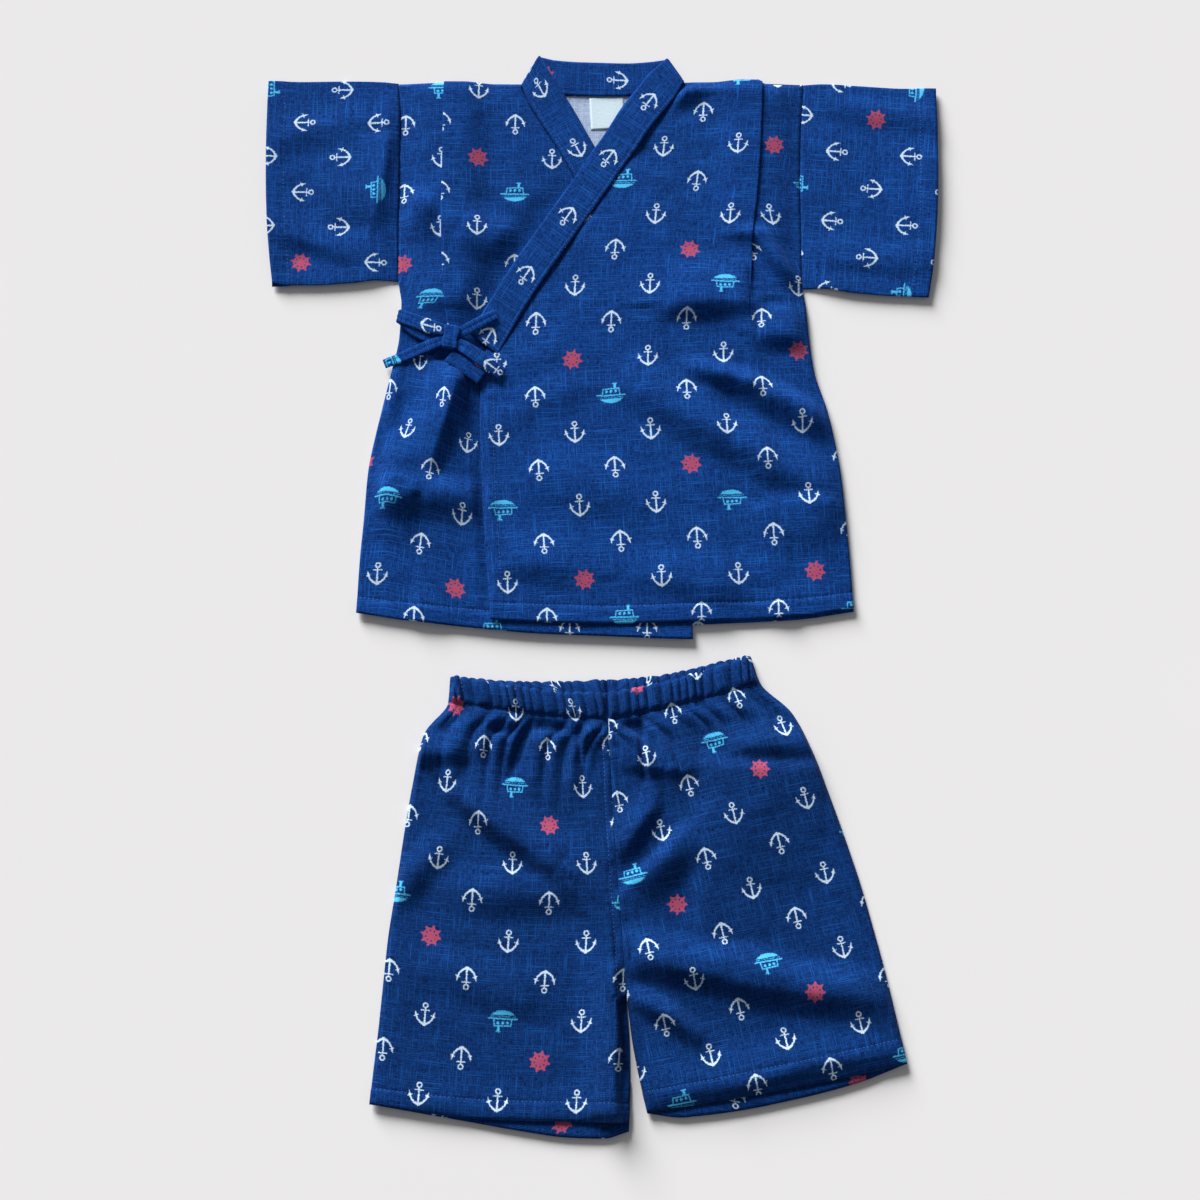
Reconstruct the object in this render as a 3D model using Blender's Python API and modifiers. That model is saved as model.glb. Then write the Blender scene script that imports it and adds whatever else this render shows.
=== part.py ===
"""A child's jinbei set: a wrap jacket with a tied bow, laid flat above its elastic-waisted shorts.

The set lies on a table. The origin is on the table, under the middle of the whole set; +X is the
wearer's left, +Y points from the shorts to the collar and +Z is up. Tables and constants are in
millimetres. In the jacket's tables `up` is the height above its hem line, in the shorts' tables the
height above their leg hems, and x is measured from each garment's own middle line.
"""

from collections import namedtuple
from math import cos, pi, radians, sin

import bmesh
import bpy
import numpy as np
from mathutils import Vector

# ---------------------------------------------------------------- driving dimensions (mm)
MM = 0.001
WALL = 1.0                      # one layer of cloth
BAND_WALL = 1.6                 # a band of cloth folded double
GAP = 0.3                       # between pieces at a seam or a face
PITCH = WALL + GAP              # from one laid layer to the next
TURN = PITCH / 2.0              # bend radius of a layer folded flat, at the middle of the cloth
EASE = 0.3                      # more room where a front's strip lies on the back's tuck

JACKET_AT = Vector((0.3, -44.2, 0.0))      # foot of the jacket's middle line, in the set's frame
SHORTS_AT = Vector((11.3, -418.2, 0.0))    # the same for the shorts

JACKET_LENGTH = 452.0           # hem to shoulder
HEM_REACH = 260.0               # the hem's own line is felt this far up the jacket
SLEEVE_PUFF = 2.2               # how far a sleeve's upper layer stands off the lower one
FOLD_ENDS = 0.35                # a soft ridge's height at its ends, against its middle's
FOLD_FADE = 28.0                # the fronts' ridges fade over this width towards the collar
OVER_FOLDS_FROM = 5.0           # x where the over front's ridges start
UNDER_FOLDS_TO = -100.0         # x where the under front's ridges end

TUCK_SLOPE = 26.0               # width over which a tuck's upper layer comes down to the panel
OPEN_TURN = 60.0                # below this turning angle (degrees) a tuck opens in a wider arc
OPEN_RADIUS = 20.0              # and its arc grows up to this radius
PRESSED_TURN = 30.0             # above this angle the back's tuck starts to lift the strip
BACK_RELEASE = 30.0             # the back's tucks are sewn this much shorter than the front's
BACK_RELEASE_RUN = 60.0         # this far below the shoulder they reach that difference

OVERLAP_HOLD = 18.0             # the over front stays lifted this far past what it covers
OVERLAP_FADE = 22.0             # and comes down over this width
COLLAR_REACH = 29.0             # width of the collar band along x
COLLAR_LEAD_UP = 165.0          # the over front starts to rise to the under collar's lower end here
COLLAR_LEAD = 35.0              # and has risen after this length

SHOULDER_FROM = 400.0           # the shoulder's own shifts start at this height
SHOULDER_RUN = 50.0             # and are whole after this length
SHOULDER_STEP = 1.6             # the tucked middle rides above the shoulder strip on the left side
SHOULDER_STEP_X = 131.0         # x of that step, at the tuck's fold edge
SHOULDER_STEP_WIDTH = 4.0
NECK_DIP = 6.0                  # the back's top edge dips this much under the collar
NECK_HALF = 70.0                # half of that dip's width
NECK_FADE = 25.0                # width of its sloping ends

LABEL_SIZE = 28.0
LABEL_AT = (4.0, 427.0)         # middle of the bare label below the back neck
LABEL_TILT = 3.0                # degrees

CASING_LIFT = 2.6               # the elastic casing's outer layers stand this much further apart
CASING_SHARE = 0.9              # how far down the casing its turned-in layer reaches
GATHER = 0.7                    # height of a gather at the waist
GATHER_FROM = 0.72              # share of the leg's height where the gathers start
GATHER_RUN = 0.2                # and over which they grow
SEAM_REST = 0.12                # share of a leg's width next to the middle seam that stays flat
HEM_SHARE = 0.35                # share of the leg's height that the hem's line shapes
WAIST_FROM = 0.6                # share of the leg's height above which the waist's line shapes it

ARC_STEPS = 3                   # segments in each folded edge
STRIP_STEPS = 3                 # columns between a side edge and its shoulder tuck
PANEL_STEPS = 10                # columns between a shoulder tuck and the front edge
BACK_STEPS = 5                  # columns across half of the back
SLEEVE_STEPS = 6                # columns across one layer of a sleeve
LEG_FRONT_STEPS = 11            # columns across a leg's front layer, one for each gather or hollow
LEG_BACK_STEPS = 7

# ---------------------------------------------------------------- tables of sections (mm)
Side = namedtuple("Side", "up right left")
BODY_SIDES = (
    Side(0, -191.3, 195.0),
    Side(45, -189.5, 193.0),
    Side(80, -187.0, 190.5),
    Side(120, -184.5, 187.2),
    Side(150, -179.5, 182.5),
    Side(175, -174.0, 177.0),
    Side(205, -167.5, 168.3),
    Side(235, -162.0, 164.5),
    Side(262, -161.0, 162.4),
    Side(276, -163.0, 160.4),
    Side(283, -164.0, 160.0),
    Side(360, -164.5, 160.0),
    Side(420, -164.8, 162.0),
    Side(452, -166.6, 164.7),
)

Front = namedtuple("Front", "up right left")
FRONT_EDGES = (                 # where the under (right) front and the over (left) front end
    Front(0, 70, -87),
    Front(45, 69, -90.3),
    Front(120, 67, -95.3),
    Front(165, 65.5, -97),
    Front(205, 63, -97),
    Front(225, 61.5, -92),
    Front(250, 50.5, -72.5),
    Front(283, 32, -51),
    Front(318, 12, -28),
    Front(345, -3, -10),
    Front(370, -17, 7),
    Front(393, -28.5, 22),
    Front(415, -44, 38),
    Front(432, -57, 51),
    Front(444, -67.5, 60),
    Front(452, -71.5, 69.5),
)

Hem = namedtuple("Hem", "across right left back")
HEM_LINES = (                   # hem height along the hem, across = x
    Hem(-192, 11.0, 12.0, 9.0),
    Hem(-150, 5.0, 8.0, 3.0),
    Hem(-100, 0.0, 4.0, -2.5),
    Hem(-50, -5.0, 1.3, -5.5),
    Hem(0, -8.5, 0.0, -5.0),
    Hem(72, -12.0, 2.0, -0.5),
    Hem(150, -12.0, 6.0, 3.5),
    Hem(195, -12.0, 12.5, 10.0),
)

Tuck = namedtuple("Tuck", "up fold depth turn")
RIGHT_TUCK = (                  # fold edge, half of the cloth it takes up, and its turning angle
    Tuck(0, -146, 5, 8),
    Tuck(90, -137, 5, 8),
    Tuck(165, -126, 4, 10),
    Tuck(205, -121, 3, 25),
    Tuck(225, -121, 1.2, 60),
    Tuck(245, -123.5, 1.6, 180),
    Tuck(270, -126.5, 12, 180),
    Tuck(300, -128.4, 15, 180),
    Tuck(340, -129.5, 16, 180),
    Tuck(452, -129, 16, 180),
)
LEFT_TUCK = (
    Tuck(0, 150, 5, 8),
    Tuck(90, 141, 5, 8),
    Tuck(165, 129, 5, 8),
    Tuck(225, 121, 4, 12),
    Tuck(262, 118.5, 3, 25),
    Tuck(283, 119, 2, 60),
    Tuck(300, 119.5, 2, 180),
    Tuck(322, 120.5, 9, 180),
    Tuck(350, 124, 14, 180),
    Tuck(390, 127.5, 16, 180),
    Tuck(452, 130.4, 16, 180),
)

Sleeve = namedtuple("Sleeve", "out low high")
RIGHT_SLEEVE = (                # underarm and shoulder heights, from the armhole (0) to the cuff (1)
    Sleeve(0.0, 282.5, 452.0),
    Sleeve(0.14, 283.0, 453.5),
    Sleeve(0.36, 280.0, 454.0),
    Sleeve(0.68, 278.0, 453.6),
    Sleeve(1.0, 277.0, 453.0),
)
LEFT_SLEEVE = (
    Sleeve(0.0, 276.0, 450.6),
    Sleeve(0.14, 276.0, 451.6),
    Sleeve(0.40, 272.0, 450.0),
    Sleeve(0.70, 269.5, 447.8),
    Sleeve(1.0, 268.4, 446.4),
)
RIGHT_CUFF = (-265.0, -273.3)    # x of the cuff at the underarm and at the shoulder fold
LEFT_CUFF = (261.4, 272.6)

Band = namedtuple("Band", "seam_x seam free_x free rest")
COLLAR_RIGHT = (                # the under collar, from its lower end to the neck
    Band(60.0, 218.0, 84.4, 231.7, 2.6),
    Band(30.0, 274.0, 54.0, 288.0, 2.6),
    Band(5.0, 318.0, 29.0, 332.0, 2.6),
    Band(-20.0, 364.0, 3.5, 379.5, 2.6),
    Band(-33.3, 390.0, -9.0, 402.0, 2.6),
    Band(-48.9, 415.0, -24.0, 430.0, 2.7),
    Band(-60.8, 435.0, -38.5, 454.5, 3.2),
)
RIGHT_FOLD = Band(-67.0, 449.0, -51.8, 476.6, 1.3)
COLLAR_NECK = (                 # along the back neck
    Band(-46.0, 446.3, -40.0, 473.4, 1.3),
    Band(-24.0, 444.2, -22.0, 471.8, 1.3),
    Band(0.0, 443.6, 0.0, 471.2, 1.3),
    Band(24.0, 444.0, 23.0, 470.6, 1.3),
    Band(46.0, 446.0, 42.0, 472.2, 1.3),
)
LEFT_FOLD = Band(67.0, 453.0, 53.0, 474.4, 1.3)
COLLAR_LEFT = (                 # the over collar, from the neck down to its tie
    Band(60.0, 440.0, 37.0, 459.5, 3.6),
    Band(50.5, 427.5, 27.0, 445.8, 4.0),
    Band(39.3, 412.5, 15.0, 429.0, 5.0),
    Band(25.5, 390.0, 1.5, 406.0, 6.0),
    Band(11.8, 370.0, -11.5, 386.5, 6.4),
    Band(-5.0, 344.0, -28.0, 360.5, 6.4),
    Band(-24.0, 316.0, -47.0, 332.5, 6.2),
    Band(-52.0, 274.0, -75.0, 290.0, 5.2),
    Band(-70.0, 243.0, -93.0, 259.0, 4.5),
    Band(-83.0, 218.0, -106.0, 236.0, 4.4),
)

Strap = namedtuple("Strap", "x up width rest")
TIES = {                        # flat ties by the middle line of each stretch
    "tie_tail_right": (
        Strap(-129.6, 232.0, 10.5, 5.6),
        Strap(-142.0, 226.0, 11.5, 4.4),
        Strap(-158.0, 219.5, 11.0, 3.4),
        Strap(-173.0, 212.3, 9.0, 2.4),
    ),
    "tie_collar": (
        Strap(-110.8, 241.0, 11.5, 6.6),
        Strap(-102.0, 246.0, 12.5, 6.6),
        Strap(-92.0, 251.5, 12.0, 6.6),
        Strap(-86.0, 255.0, 11.0, 6.6),
    ),
    "tie_end_over": (
        Strap(-112.0, 225.0, 12.0, 6.6),
        Strap(-98.0, 216.4, 12.0, 6.6),
        Strap(-79.5, 204.0, 10.5, 5.4),
    ),
    "tie_end_under": (
        Strap(-120.0, 217.3, 8.0, 4.6),
        Strap(-109.0, 209.8, 8.6, 4.6),
        Strap(-96.0, 201.0, 8.6, 4.5),
    ),
}
LOOP_LOWER = (                  # the bow's loop: out under, round its tip, back over
    Band(-128.0, 239.0, -128.0, 246.0, 5.6),
    Band(-146.0, 235.0, -145.0, 248.0, 5.0),
    Band(-156.0, 240.0, -154.0, 253.5, 4.6),
)
LOOP_TIP = Band(-163.6, 245.0, -161.5, 258.5, 4.4)
LOOP_UPPER = (
    Band(-155.0, 243.0, -153.5, 256.0, 6.8),
    Band(-142.0, 240.0, -140.5, 251.5, 7.4),
    Band(-128.0, 238.6, -128.0, 245.6, 7.8),
)
KNOT_AT = Vector((-120.6, 236.4, 8.3))
KNOT_SIZE = (12.5, 19.0, 4.6)
KNOT_LEAN = -8.0                # degrees
KNOT_TOP = 0.86                 # its top's size against its foot's
KNOT_EDGE = 1.4                 # rounding of its edges

Leg = namedtuple("Leg", "inner_x inner side_x side")
RIGHT_LEG = (                   # middle seam or inseam, and side fold, from leg hem to waist
    Leg(8.5, -3.0, -183.0, 10.0),
    Leg(9.6, 25.0, -181.0, 34.0),
    Leg(9.2, 55.0, -178.0, 63.0),
    Leg(6.6, 88.0, -175.0, 98.0),
    Leg(4.6, 120.0, -172.0, 132.0),
    Leg(1.6, 160.0, -167.0, 168.0),
    Leg(-1.4, 200.0, -162.0, 206.0),
    Leg(-3.9, 240.0, -156.0, 246.0),
    Leg(-5.9, 275.0, -147.0, 287.0),
    Leg(-6.9, 299.0, -127.9, 312.0),
    Leg(-7.7, 319.0, -126.5, 332.0),
)
LEFT_LEG = (
    Leg(22.0, 4.5, 214.6, 39.3),
    Leg(15.5, 33.0, 207.4, 76.0),
    Leg(10.6, 60.0, 199.8, 110.0),
    Leg(7.4, 88.0, 192.0, 141.0),
    Leg(5.0, 120.0, 183.8, 172.0),
    Leg(2.0, 160.0, 173.2, 206.0),
    Leg(-1.0, 200.0, 161.8, 240.0),
    Leg(-3.5, 240.0, 149.5, 274.0),
    Leg(-5.5, 275.0, 133.5, 304.0),
    Leg(-6.5, 299.0, 108.9, 327.0),
    Leg(-7.3, 319.0, 101.7, 348.0),
)

Drop = namedtuple("Drop", "across hem_front hem_back waist_front waist_back")
RIGHT_DROPS = (                 # across runs from the side fold (0) to the middle (1)
    Drop(0.0, 0.0, 0.0, 0.0, 0.0),
    Drop(0.2, -3.0, -4.0, -1.0, 0.2),
    Drop(0.4, -5.0, -8.0, -2.0, 1.5),
    Drop(0.6, -4.0, -12.0, -3.0, 3.5),
    Drop(0.75, -2.5, -14.0, -2.5, 6.0),
    Drop(0.9, -1.0, -13.0, -1.0, 8.5),
    Drop(1.0, 0.0, -6.5, 0.0, 10.0),
)
LEFT_DROPS = (
    Drop(0.0, 0.0, 0.0, 0.0, 0.0),
    Drop(0.2, -1.5, -7.5, -1.5, 1.0),
    Drop(0.4, -2.0, -10.5, -3.0, 1.5),
    Drop(0.6, -2.0, -11.5, -3.0, 2.5),
    Drop(0.85, -1.0, -9.0, -1.5, 7.0),
    Drop(1.0, 0.0, -1.0, 0.0, 10.0),
)

Fold = namedtuple("Fold", "x1 up1 x2 up2 height width")
JACKET_FOLDS = (                # the largest soft ridges of the fronts
    Fold(-150, 192, -168, 95, 3.0, 13),
    Fold(-121, 190, -150, 35, 2.4, 15),
    Fold(122, 318, 152, 278, 2.6, 13),
    Fold(88, 158, 176, 146, 2.8, 22),
    Fold(112, 245, 92, 95, 2.2, 20),
    Fold(20, 120, 150, 50, 1.8, 26),
)
SHORTS_FOLDS = (
    Fold(-150, 274, -112, 276, 3.0, 13),
    Fold(-122, 226, -20, 158, 2.6, 20),
    Fold(28, 106, 178, 96, 3.0, 20),
    Fold(60, 262, 135, 280, 3.0, 20),
    Fold(-40, 286, -62, 226, 2.2, 14),
    Fold(28, 280, 40, 200, 2.2, 16),
)

BODY_ROWS = (0, 45, 90, 130, 165, 205, 225, 245, 262, 276, 300, 322, 350, 372, 393, 425, 444, 452)
BACK_ROWS = (0, 90, 165, 225, 245, 262, 276, 300, 322, 350, 393, 425, 452)


# ---------------------------------------------------------------- reading the tables
def read(table, key, column, at):
    """One column of a table, read in straight lines at a value of its key column."""
    keys = [getattr(row, key) for row in table]
    values = [getattr(row, column) for row in table]
    return float(np.interp(at, keys, values))


def smooth(value):
    """0 to 1 with soft ends."""
    value = min(max(value, 0.0), 1.0)
    return value * value * (3.0 - 2.0 * value)


def swell(share):
    """A ridge's height along its length, from 0 to 1: fullest in the middle."""
    return FOLD_ENDS + (1.0 - FOLD_ENDS) * sin(pi * share)


def ridges(folds, x, up):
    """Height of the soft ridges at a point: each fades across its width and at its two ends."""
    total = 0.0
    for fold in folds:
        start = Vector((fold.x1, fold.up1))
        run = Vector((fold.x2, fold.up2)) - start
        place = Vector((x, up)) - start
        along = min(max(place.dot(run) / run.length_squared, 0.0), 1.0)
        off = (place - run * along).length / fold.width
        total += fold.height * smooth(1.0 - off) * swell(along)
    return total


# ---------------------------------------------------------------- meshes, walls and materials
def material(name, colour, roughness):
    """A Principled cloth finish."""
    finish = bpy.data.materials.new(name)
    finish.use_nodes = True
    shader = finish.node_tree.nodes["Principled BSDF"]
    shader.inputs["Base Color"].default_value = (*colour, 1.0)
    shader.inputs["Roughness"].default_value = roughness
    shader.inputs["Metallic"].default_value = 0.0
    return finish


def cloth(name, rows, at, wall, finish, ring=False):
    """A wall of cloth: a grid laid through rows of points (mm), thickened about its middle.

    A ring's first and last columns are the same line, and are joined.
    """
    mesh = bpy.data.meshes.new(name)
    shape = bmesh.new()
    bmesh.ops.create_grid(shape, x_segments=len(rows[0]) - 1, y_segments=len(rows) - 1, size=1.0)
    points = [Vector(point) + at for row in rows for point in row]
    for vertex, point in zip(shape.verts, points):
        vertex.co = point * MM
    if ring:
        bmesh.ops.remove_doubles(shape, verts=shape.verts, dist=0.01 * MM)
    shape.to_mesh(mesh)
    shape.free()
    piece = bpy.data.objects.new(name, mesh)
    PARTS.objects.link(piece)
    mesh.materials.append(finish)
    solid = piece.modifiers.new("wall", "SOLIDIFY")
    solid.thickness = wall * MM
    solid.offset = 0.0
    return piece


# ---------------------------------------------------------------- the jacket's body
def tuck_path(tuck, inward, climb):
    """A tuck's section from the shoulder strip to the panel, as (x, rise) about its fold edge.

    The cloth turns back under the panel, runs out to the fold edge and turns in again. inward is +1
    where the middle of the body lies at +x, and climb is +1 on a front and -1 on the back.
    """
    angle = radians(tuck.turn)
    radius = min(TURN * max(1.0, (OPEN_TURN / tuck.turn) ** 2), OPEN_RADIUS)
    step = angle / ARC_STEPS
    chord = 2.0 * radius * sin(step / 2.0)
    headings = [(index + 0.5) * step for index in range(ARC_STEPS)]
    moves = [(chord, heading) for heading in headings]
    moves.append((tuck.depth, angle))
    moves += [(chord, heading) for heading in reversed(headings)]
    x, rise = 0.0, 0.0
    path = [(x, rise)]
    for length, heading in moves:
        x += length * cos(heading)
        rise += length * sin(heading)
        path.append((x, rise))
    edge = min(path[ARC_STEPS + 1][0], path[ARC_STEPS + 2][0])
    return [(tuck.fold + inward * (px - edge), climb * pz) for px, pz in path]


def tuck_at(table, up):
    return Tuck(up, *(read(table, "up", column, up) for column in ("fold", "depth", "turn")))


def back_tuck_at(table, up):
    """The back's tuck at a height: sewn shorter, so its sections are the front's from lower down."""
    return tuck_at(table, up - BACK_RELEASE * smooth((JACKET_LENGTH - up) / BACK_RELEASE_RUN))


def back_half(up, side):
    """Half a section of the back, from its side edge to its inner tuck turn, as (x, level).

    The tuck is pressed under the panel, so it lifts the shoulder strip. Below its stitching it has
    opened and lies flat on the table.
    """
    table, inward = (LEFT_TUCK, -1.0) if side == "left" else (RIGHT_TUCK, 1.0)
    tuck = back_tuck_at(table, up)
    pressed = smooth((tuck.turn - PRESSED_TURN) / OPEN_TURN)
    path = tuck_path(tuck, inward, -pressed)
    rise = -path[-1][1]
    side_x, start_x = read(BODY_SIDES, "up", side, up), path[0][0]
    points = []
    for index in range(STRIP_STEPS):
        share = index / STRIP_STEPS
        level = WALL / 2.0 + rise * smooth(share * 1.2)
        points.append((side_x + (start_x - side_x) * share, level))
    return points + [(x, WALL / 2.0 + rise + drop) for x, drop in path]


def hem_shift(x, up, column):
    """How far a row is moved by the hem's own line, fading out up the panel."""
    fade = max(0.0, 1.0 - up / HEM_REACH)
    return read(HEM_LINES, "across", column, x) * fade * fade


def shoulder_shift(x, up):
    """On the left side the tucked middle rides above the shoulder strip."""
    inside = smooth((SHOULDER_STEP_X - x) / SHOULDER_STEP_WIDTH)
    inside *= smooth((x - NECK_HALF) / NECK_FADE + 1.0)
    outside = smooth((x - SHOULDER_STEP_X) / SHOULDER_STEP_WIDTH)
    return SHOULDER_STEP * (inside - outside) * shoulder_share(up)


def shoulder_share(up):
    return smooth((up - SHOULDER_FROM) / SHOULDER_RUN)


def under_edge(up):
    """Outermost x of the under front at a height, or of its collar above the collar's lower end."""
    if up < COLLAR_RIGHT[0].seam:
        return read(FRONT_EDGES, "up", "right", up)
    return read(COLLAR_RIGHT, "free", "free_x", up)


def over_lift(x, up):
    """Lift of the over front above the plain front's level, by what lies under it."""
    covered = smooth(1.0 - (x - under_edge(up) - OVERLAP_HOLD) / OVERLAP_FADE)
    seam = under_edge(up) - COLLAR_REACH
    band_low = smooth(1.0 - (seam - OVERLAP_HOLD - x) / OVERLAP_FADE)
    band_end = smooth((up - COLLAR_LEAD_UP) / COLLAR_LEAD)
    return (PITCH + GAP) * covered + (BAND_WALL + GAP) * covered * band_low * band_end


def front_level(x, up, over):
    """Middle of a front panel's wall above the table, away from its tuck."""
    level = PITCH + WALL / 2.0
    if over:
        share = smooth((x - OVER_FOLDS_FROM) / FOLD_FADE)
        return level + over_lift(x, up) + ridges(JACKET_FOLDS, x, up) * share
    return level + ridges(JACKET_FOLDS, x, up) * smooth((UNDER_FOLDS_TO - x) / FOLD_FADE)


def front_row(up, over):
    """One section of a front panel, from its side edge or sleeve seam to its front edge."""
    side, table, inward = ("left", LEFT_TUCK, -1.0) if over else ("right", RIGHT_TUCK, 1.0)
    path = tuck_path(tuck_at(table, up), inward, 1.0)
    start_x = path[0][0]
    below = back_half(up, side)[: STRIP_STEPS + 1]
    start = below[-1][1] + PITCH + EASE
    side_x = below[0][0]
    points = []
    for x, level in below:
        ease = EASE * (x - side_x) / (start_x - side_x)
        points.append((x, level + PITCH + ease + ridges(JACKET_FOLDS, x, up)))
    points += [(x, start + rise) for x, rise in path]
    last_x, last = points[-1]
    # past the tuck's inner turn the upper layer comes down to the panel's own level
    turned_x = max(last_x * inward, (start_x * inward) + TURN + WALL) * inward
    edge_x = read(FRONT_EDGES, "up", side, up)
    stops = [turned_x + inward * TUCK_SLOPE * share for share in (0.0, 0.5, 1.0)]
    stops += [
        stops[2] + (edge_x - stops[2]) * (index + 1) / (PANEL_STEPS - 3)
        for index in range(PANEL_STEPS - 3)
    ]
    for x in stops:
        down = smooth(1.0 - abs(x - turned_x) / TUCK_SLOPE)
        level = front_level(x, up, over)
        points.append((x, level + max(last - level, 0.0) * down))
    row = []
    for x, level in points:
        y = up + hem_shift(x, up, side) + (shoulder_shift(x, up) if over else 0.0)
        row.append((x, y, level))
    return row


def back_row(up):
    """One section of the back, from the right side to the left: its tucks are pressed under it."""
    halves = []
    for side in ("right", "left"):
        half = back_half(up, side)
        last_x = half[-1][0]
        half += [
            (last_x * (1.0 - share), WALL / 2.0)
            for share in ((index + 1) / BACK_STEPS for index in range(BACK_STEPS))
        ]
        halves.append(half)
    section = halves[0] + halves[1][-2::-1]
    row = []
    for x, level in section:
        dip = NECK_DIP * smooth((NECK_HALF - abs(x)) / NECK_FADE) * shoulder_share(up)
        row.append((x, up + hem_shift(x, up, "back") - dip, level))
    return row


# ---------------------------------------------------------------- sleeves
def sleeve_rows(table, side, cuff_line):
    """Rings round a flattened sleeve, from its armhole to its cuff."""
    outward = 1.0 if side == "left" else -1.0
    low_level, high_level = WALL / 2.0, PITCH + WALL / 2.0
    shares = [step / SLEEVE_STEPS for step in range(SLEEVE_STEPS + 1)]
    rows = []
    for section in table:
        height = section.high - section.low
        ring = [(share, low_level) for share in shares]
        ring += folded_edge(TURN / height, 1.0)
        puff = SLEEVE_PUFF * (FOLD_ENDS + (1.0 - FOLD_ENDS) * section.out)
        ring += [(share, high_level + puff * sin(pi * share)) for share in reversed(shares)]
        ring += folded_edge(-TURN / height, 0.0)
        ring.append((0.0, low_level))
        row = []
        for share, level in ring:
            up = section.low + height * share
            bulge = 1.0 - (1.0 - min(max(share, 0.0), 1.0)) ** 3
            cuff_x = cuff_line[0] + (cuff_line[1] - cuff_line[0]) * bulge
            seam_x = read(BODY_SIDES, "up", side, up) + outward * GAP
            row.append((seam_x + (cuff_x - seam_x) * section.out, up, level))
        rows.append(row)
    return rows


def folded_edge(reach, share):
    """The inner points of a fold between the lower and upper layers: going up, or coming down."""
    points = []
    for step in range(1, ARC_STEPS):
        angle = pi * step / ARC_STEPS
        rise = TURN * (1.0 - cos(angle))
        level = WALL / 2.0 + (rise if reach > 0.0 else PITCH - rise)
        points.append((share + reach * sin(angle), level))
    return points


# ---------------------------------------------------------------- bands and ties
def band_row(band, wall, steps=2):
    """One section across a band, from its seam edge to its free edge."""
    level = band.rest + wall / 2.0
    row = []
    for step in range(steps + 1):
        share = step / steps
        x = band.seam_x + (band.free_x - band.seam_x) * share
        up = band.seam + (band.free - band.seam) * share
        row.append((x, up, level))
    return row


def band_fold(band, inward, low, high, falling):
    """Sections round a band's folded end, between a lower and an upper layer.

    inward is the side of the fold line on which both layers lie, +1 for +x.
    """
    line = Vector((band.free_x - band.seam_x, band.free - band.seam)).normalized()
    into = Vector((line.y, -line.x)) * inward
    radius = (high - low) / 2.0
    rows = []
    for step in range(ARC_STEPS + 1):
        angle = pi * step / ARC_STEPS
        off = radius * (1.0 - sin(angle))
        rise = radius * (1.0 - cos(angle))
        level = high - rise if falling else low + rise
        row = []
        for share in (0.0, 0.5, 1.0):
            x = band.seam_x + (band.free_x - band.seam_x) * share + into.x * off
            up = band.seam + (band.free - band.seam) * share + into.y * off
            row.append((x, up, level))
        rows.append(row)
    return rows


def collar_rows():
    """The collar: one band up the under front, round the back neck and down the over front."""
    low = RIGHT_FOLD.rest + BAND_WALL / 2.0
    high = low + BAND_WALL + GAP + 0.1
    rows = [band_row(band, BAND_WALL) for band in COLLAR_RIGHT]
    rows += band_fold(RIGHT_FOLD, 1.0, low, high, True)
    rows += [band_row(band, BAND_WALL) for band in COLLAR_NECK]
    rows += band_fold(LEFT_FOLD, -1.0, low, high, False)
    rows += [band_row(band, BAND_WALL) for band in COLLAR_LEFT]
    return rows


def loop_rows():
    """The bow's loop: a tie that runs out, folds round its tip and comes back over itself."""
    low = LOOP_TIP.rest + BAND_WALL / 2.0
    rows = [band_row(band, BAND_WALL) for band in LOOP_LOWER]
    rows += band_fold(LOOP_TIP, 1.0, low, low + BAND_WALL + GAP + 0.3, False)
    rows += [band_row(band, BAND_WALL) for band in LOOP_UPPER]
    return rows


def strap_rows(stretch):
    """A tie's sections, square across its middle line."""
    middles = [Vector((station.x, station.up)) for station in stretch]
    rows = []
    for index, station in enumerate(stretch):
        run = middles[min(index + 1, len(middles) - 1)] - middles[max(index - 1, 0)]
        across = Vector((-run.y, run.x)).normalized() * station.width / 2.0
        low, high = middles[index] - across, middles[index] + across
        rows.append(band_row(Band(low.x, low.y, high.x, high.y, station.rest), BAND_WALL))
    return rows


def knot(finish):
    """The bow's knot: a block of cloth wrapped round the ties, with rounded edges."""
    mesh = bpy.data.meshes.new("tie_knot")
    shape = bmesh.new()
    bmesh.ops.create_cube(shape, size=1.0)
    for vertex in shape.verts:
        top = vertex.co.z > 0.0
        narrow = KNOT_TOP if top else 1.0
        vertex.co.x *= KNOT_SIZE[0] * narrow * MM
        vertex.co.y *= KNOT_SIZE[1] * narrow * MM
        vertex.co.z *= KNOT_SIZE[2] * MM
    shape.to_mesh(mesh)
    shape.free()
    piece = bpy.data.objects.new("tie_knot", mesh)
    piece.location = (KNOT_AT + JACKET_AT) * MM
    piece.rotation_euler = (0.0, 0.0, radians(KNOT_LEAN))
    PARTS.objects.link(piece)
    mesh.materials.append(finish)
    edges = piece.modifiers.new("soft edges", "BEVEL")
    edges.width = KNOT_EDGE * MM
    edges.segments = 2


def label(finish):
    """The bare label sewn inside the back neck."""
    middle = Vector((LABEL_AT[0], LABEL_AT[1], PITCH + WALL / 2.0))
    tilt = radians(LABEL_TILT)
    rows = []
    for v in (-0.5, 0.5):
        row = []
        for u in (-0.5, 0.0, 0.5):
            x, y = u * LABEL_SIZE, v * LABEL_SIZE
            turned = (x * cos(tilt) - y * sin(tilt), x * sin(tilt) + y * cos(tilt), 0.0)
            row.append(middle + Vector(turned))
        rows.append(row)
    cloth("label", rows, JACKET_AT, WALL, finish)


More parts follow.
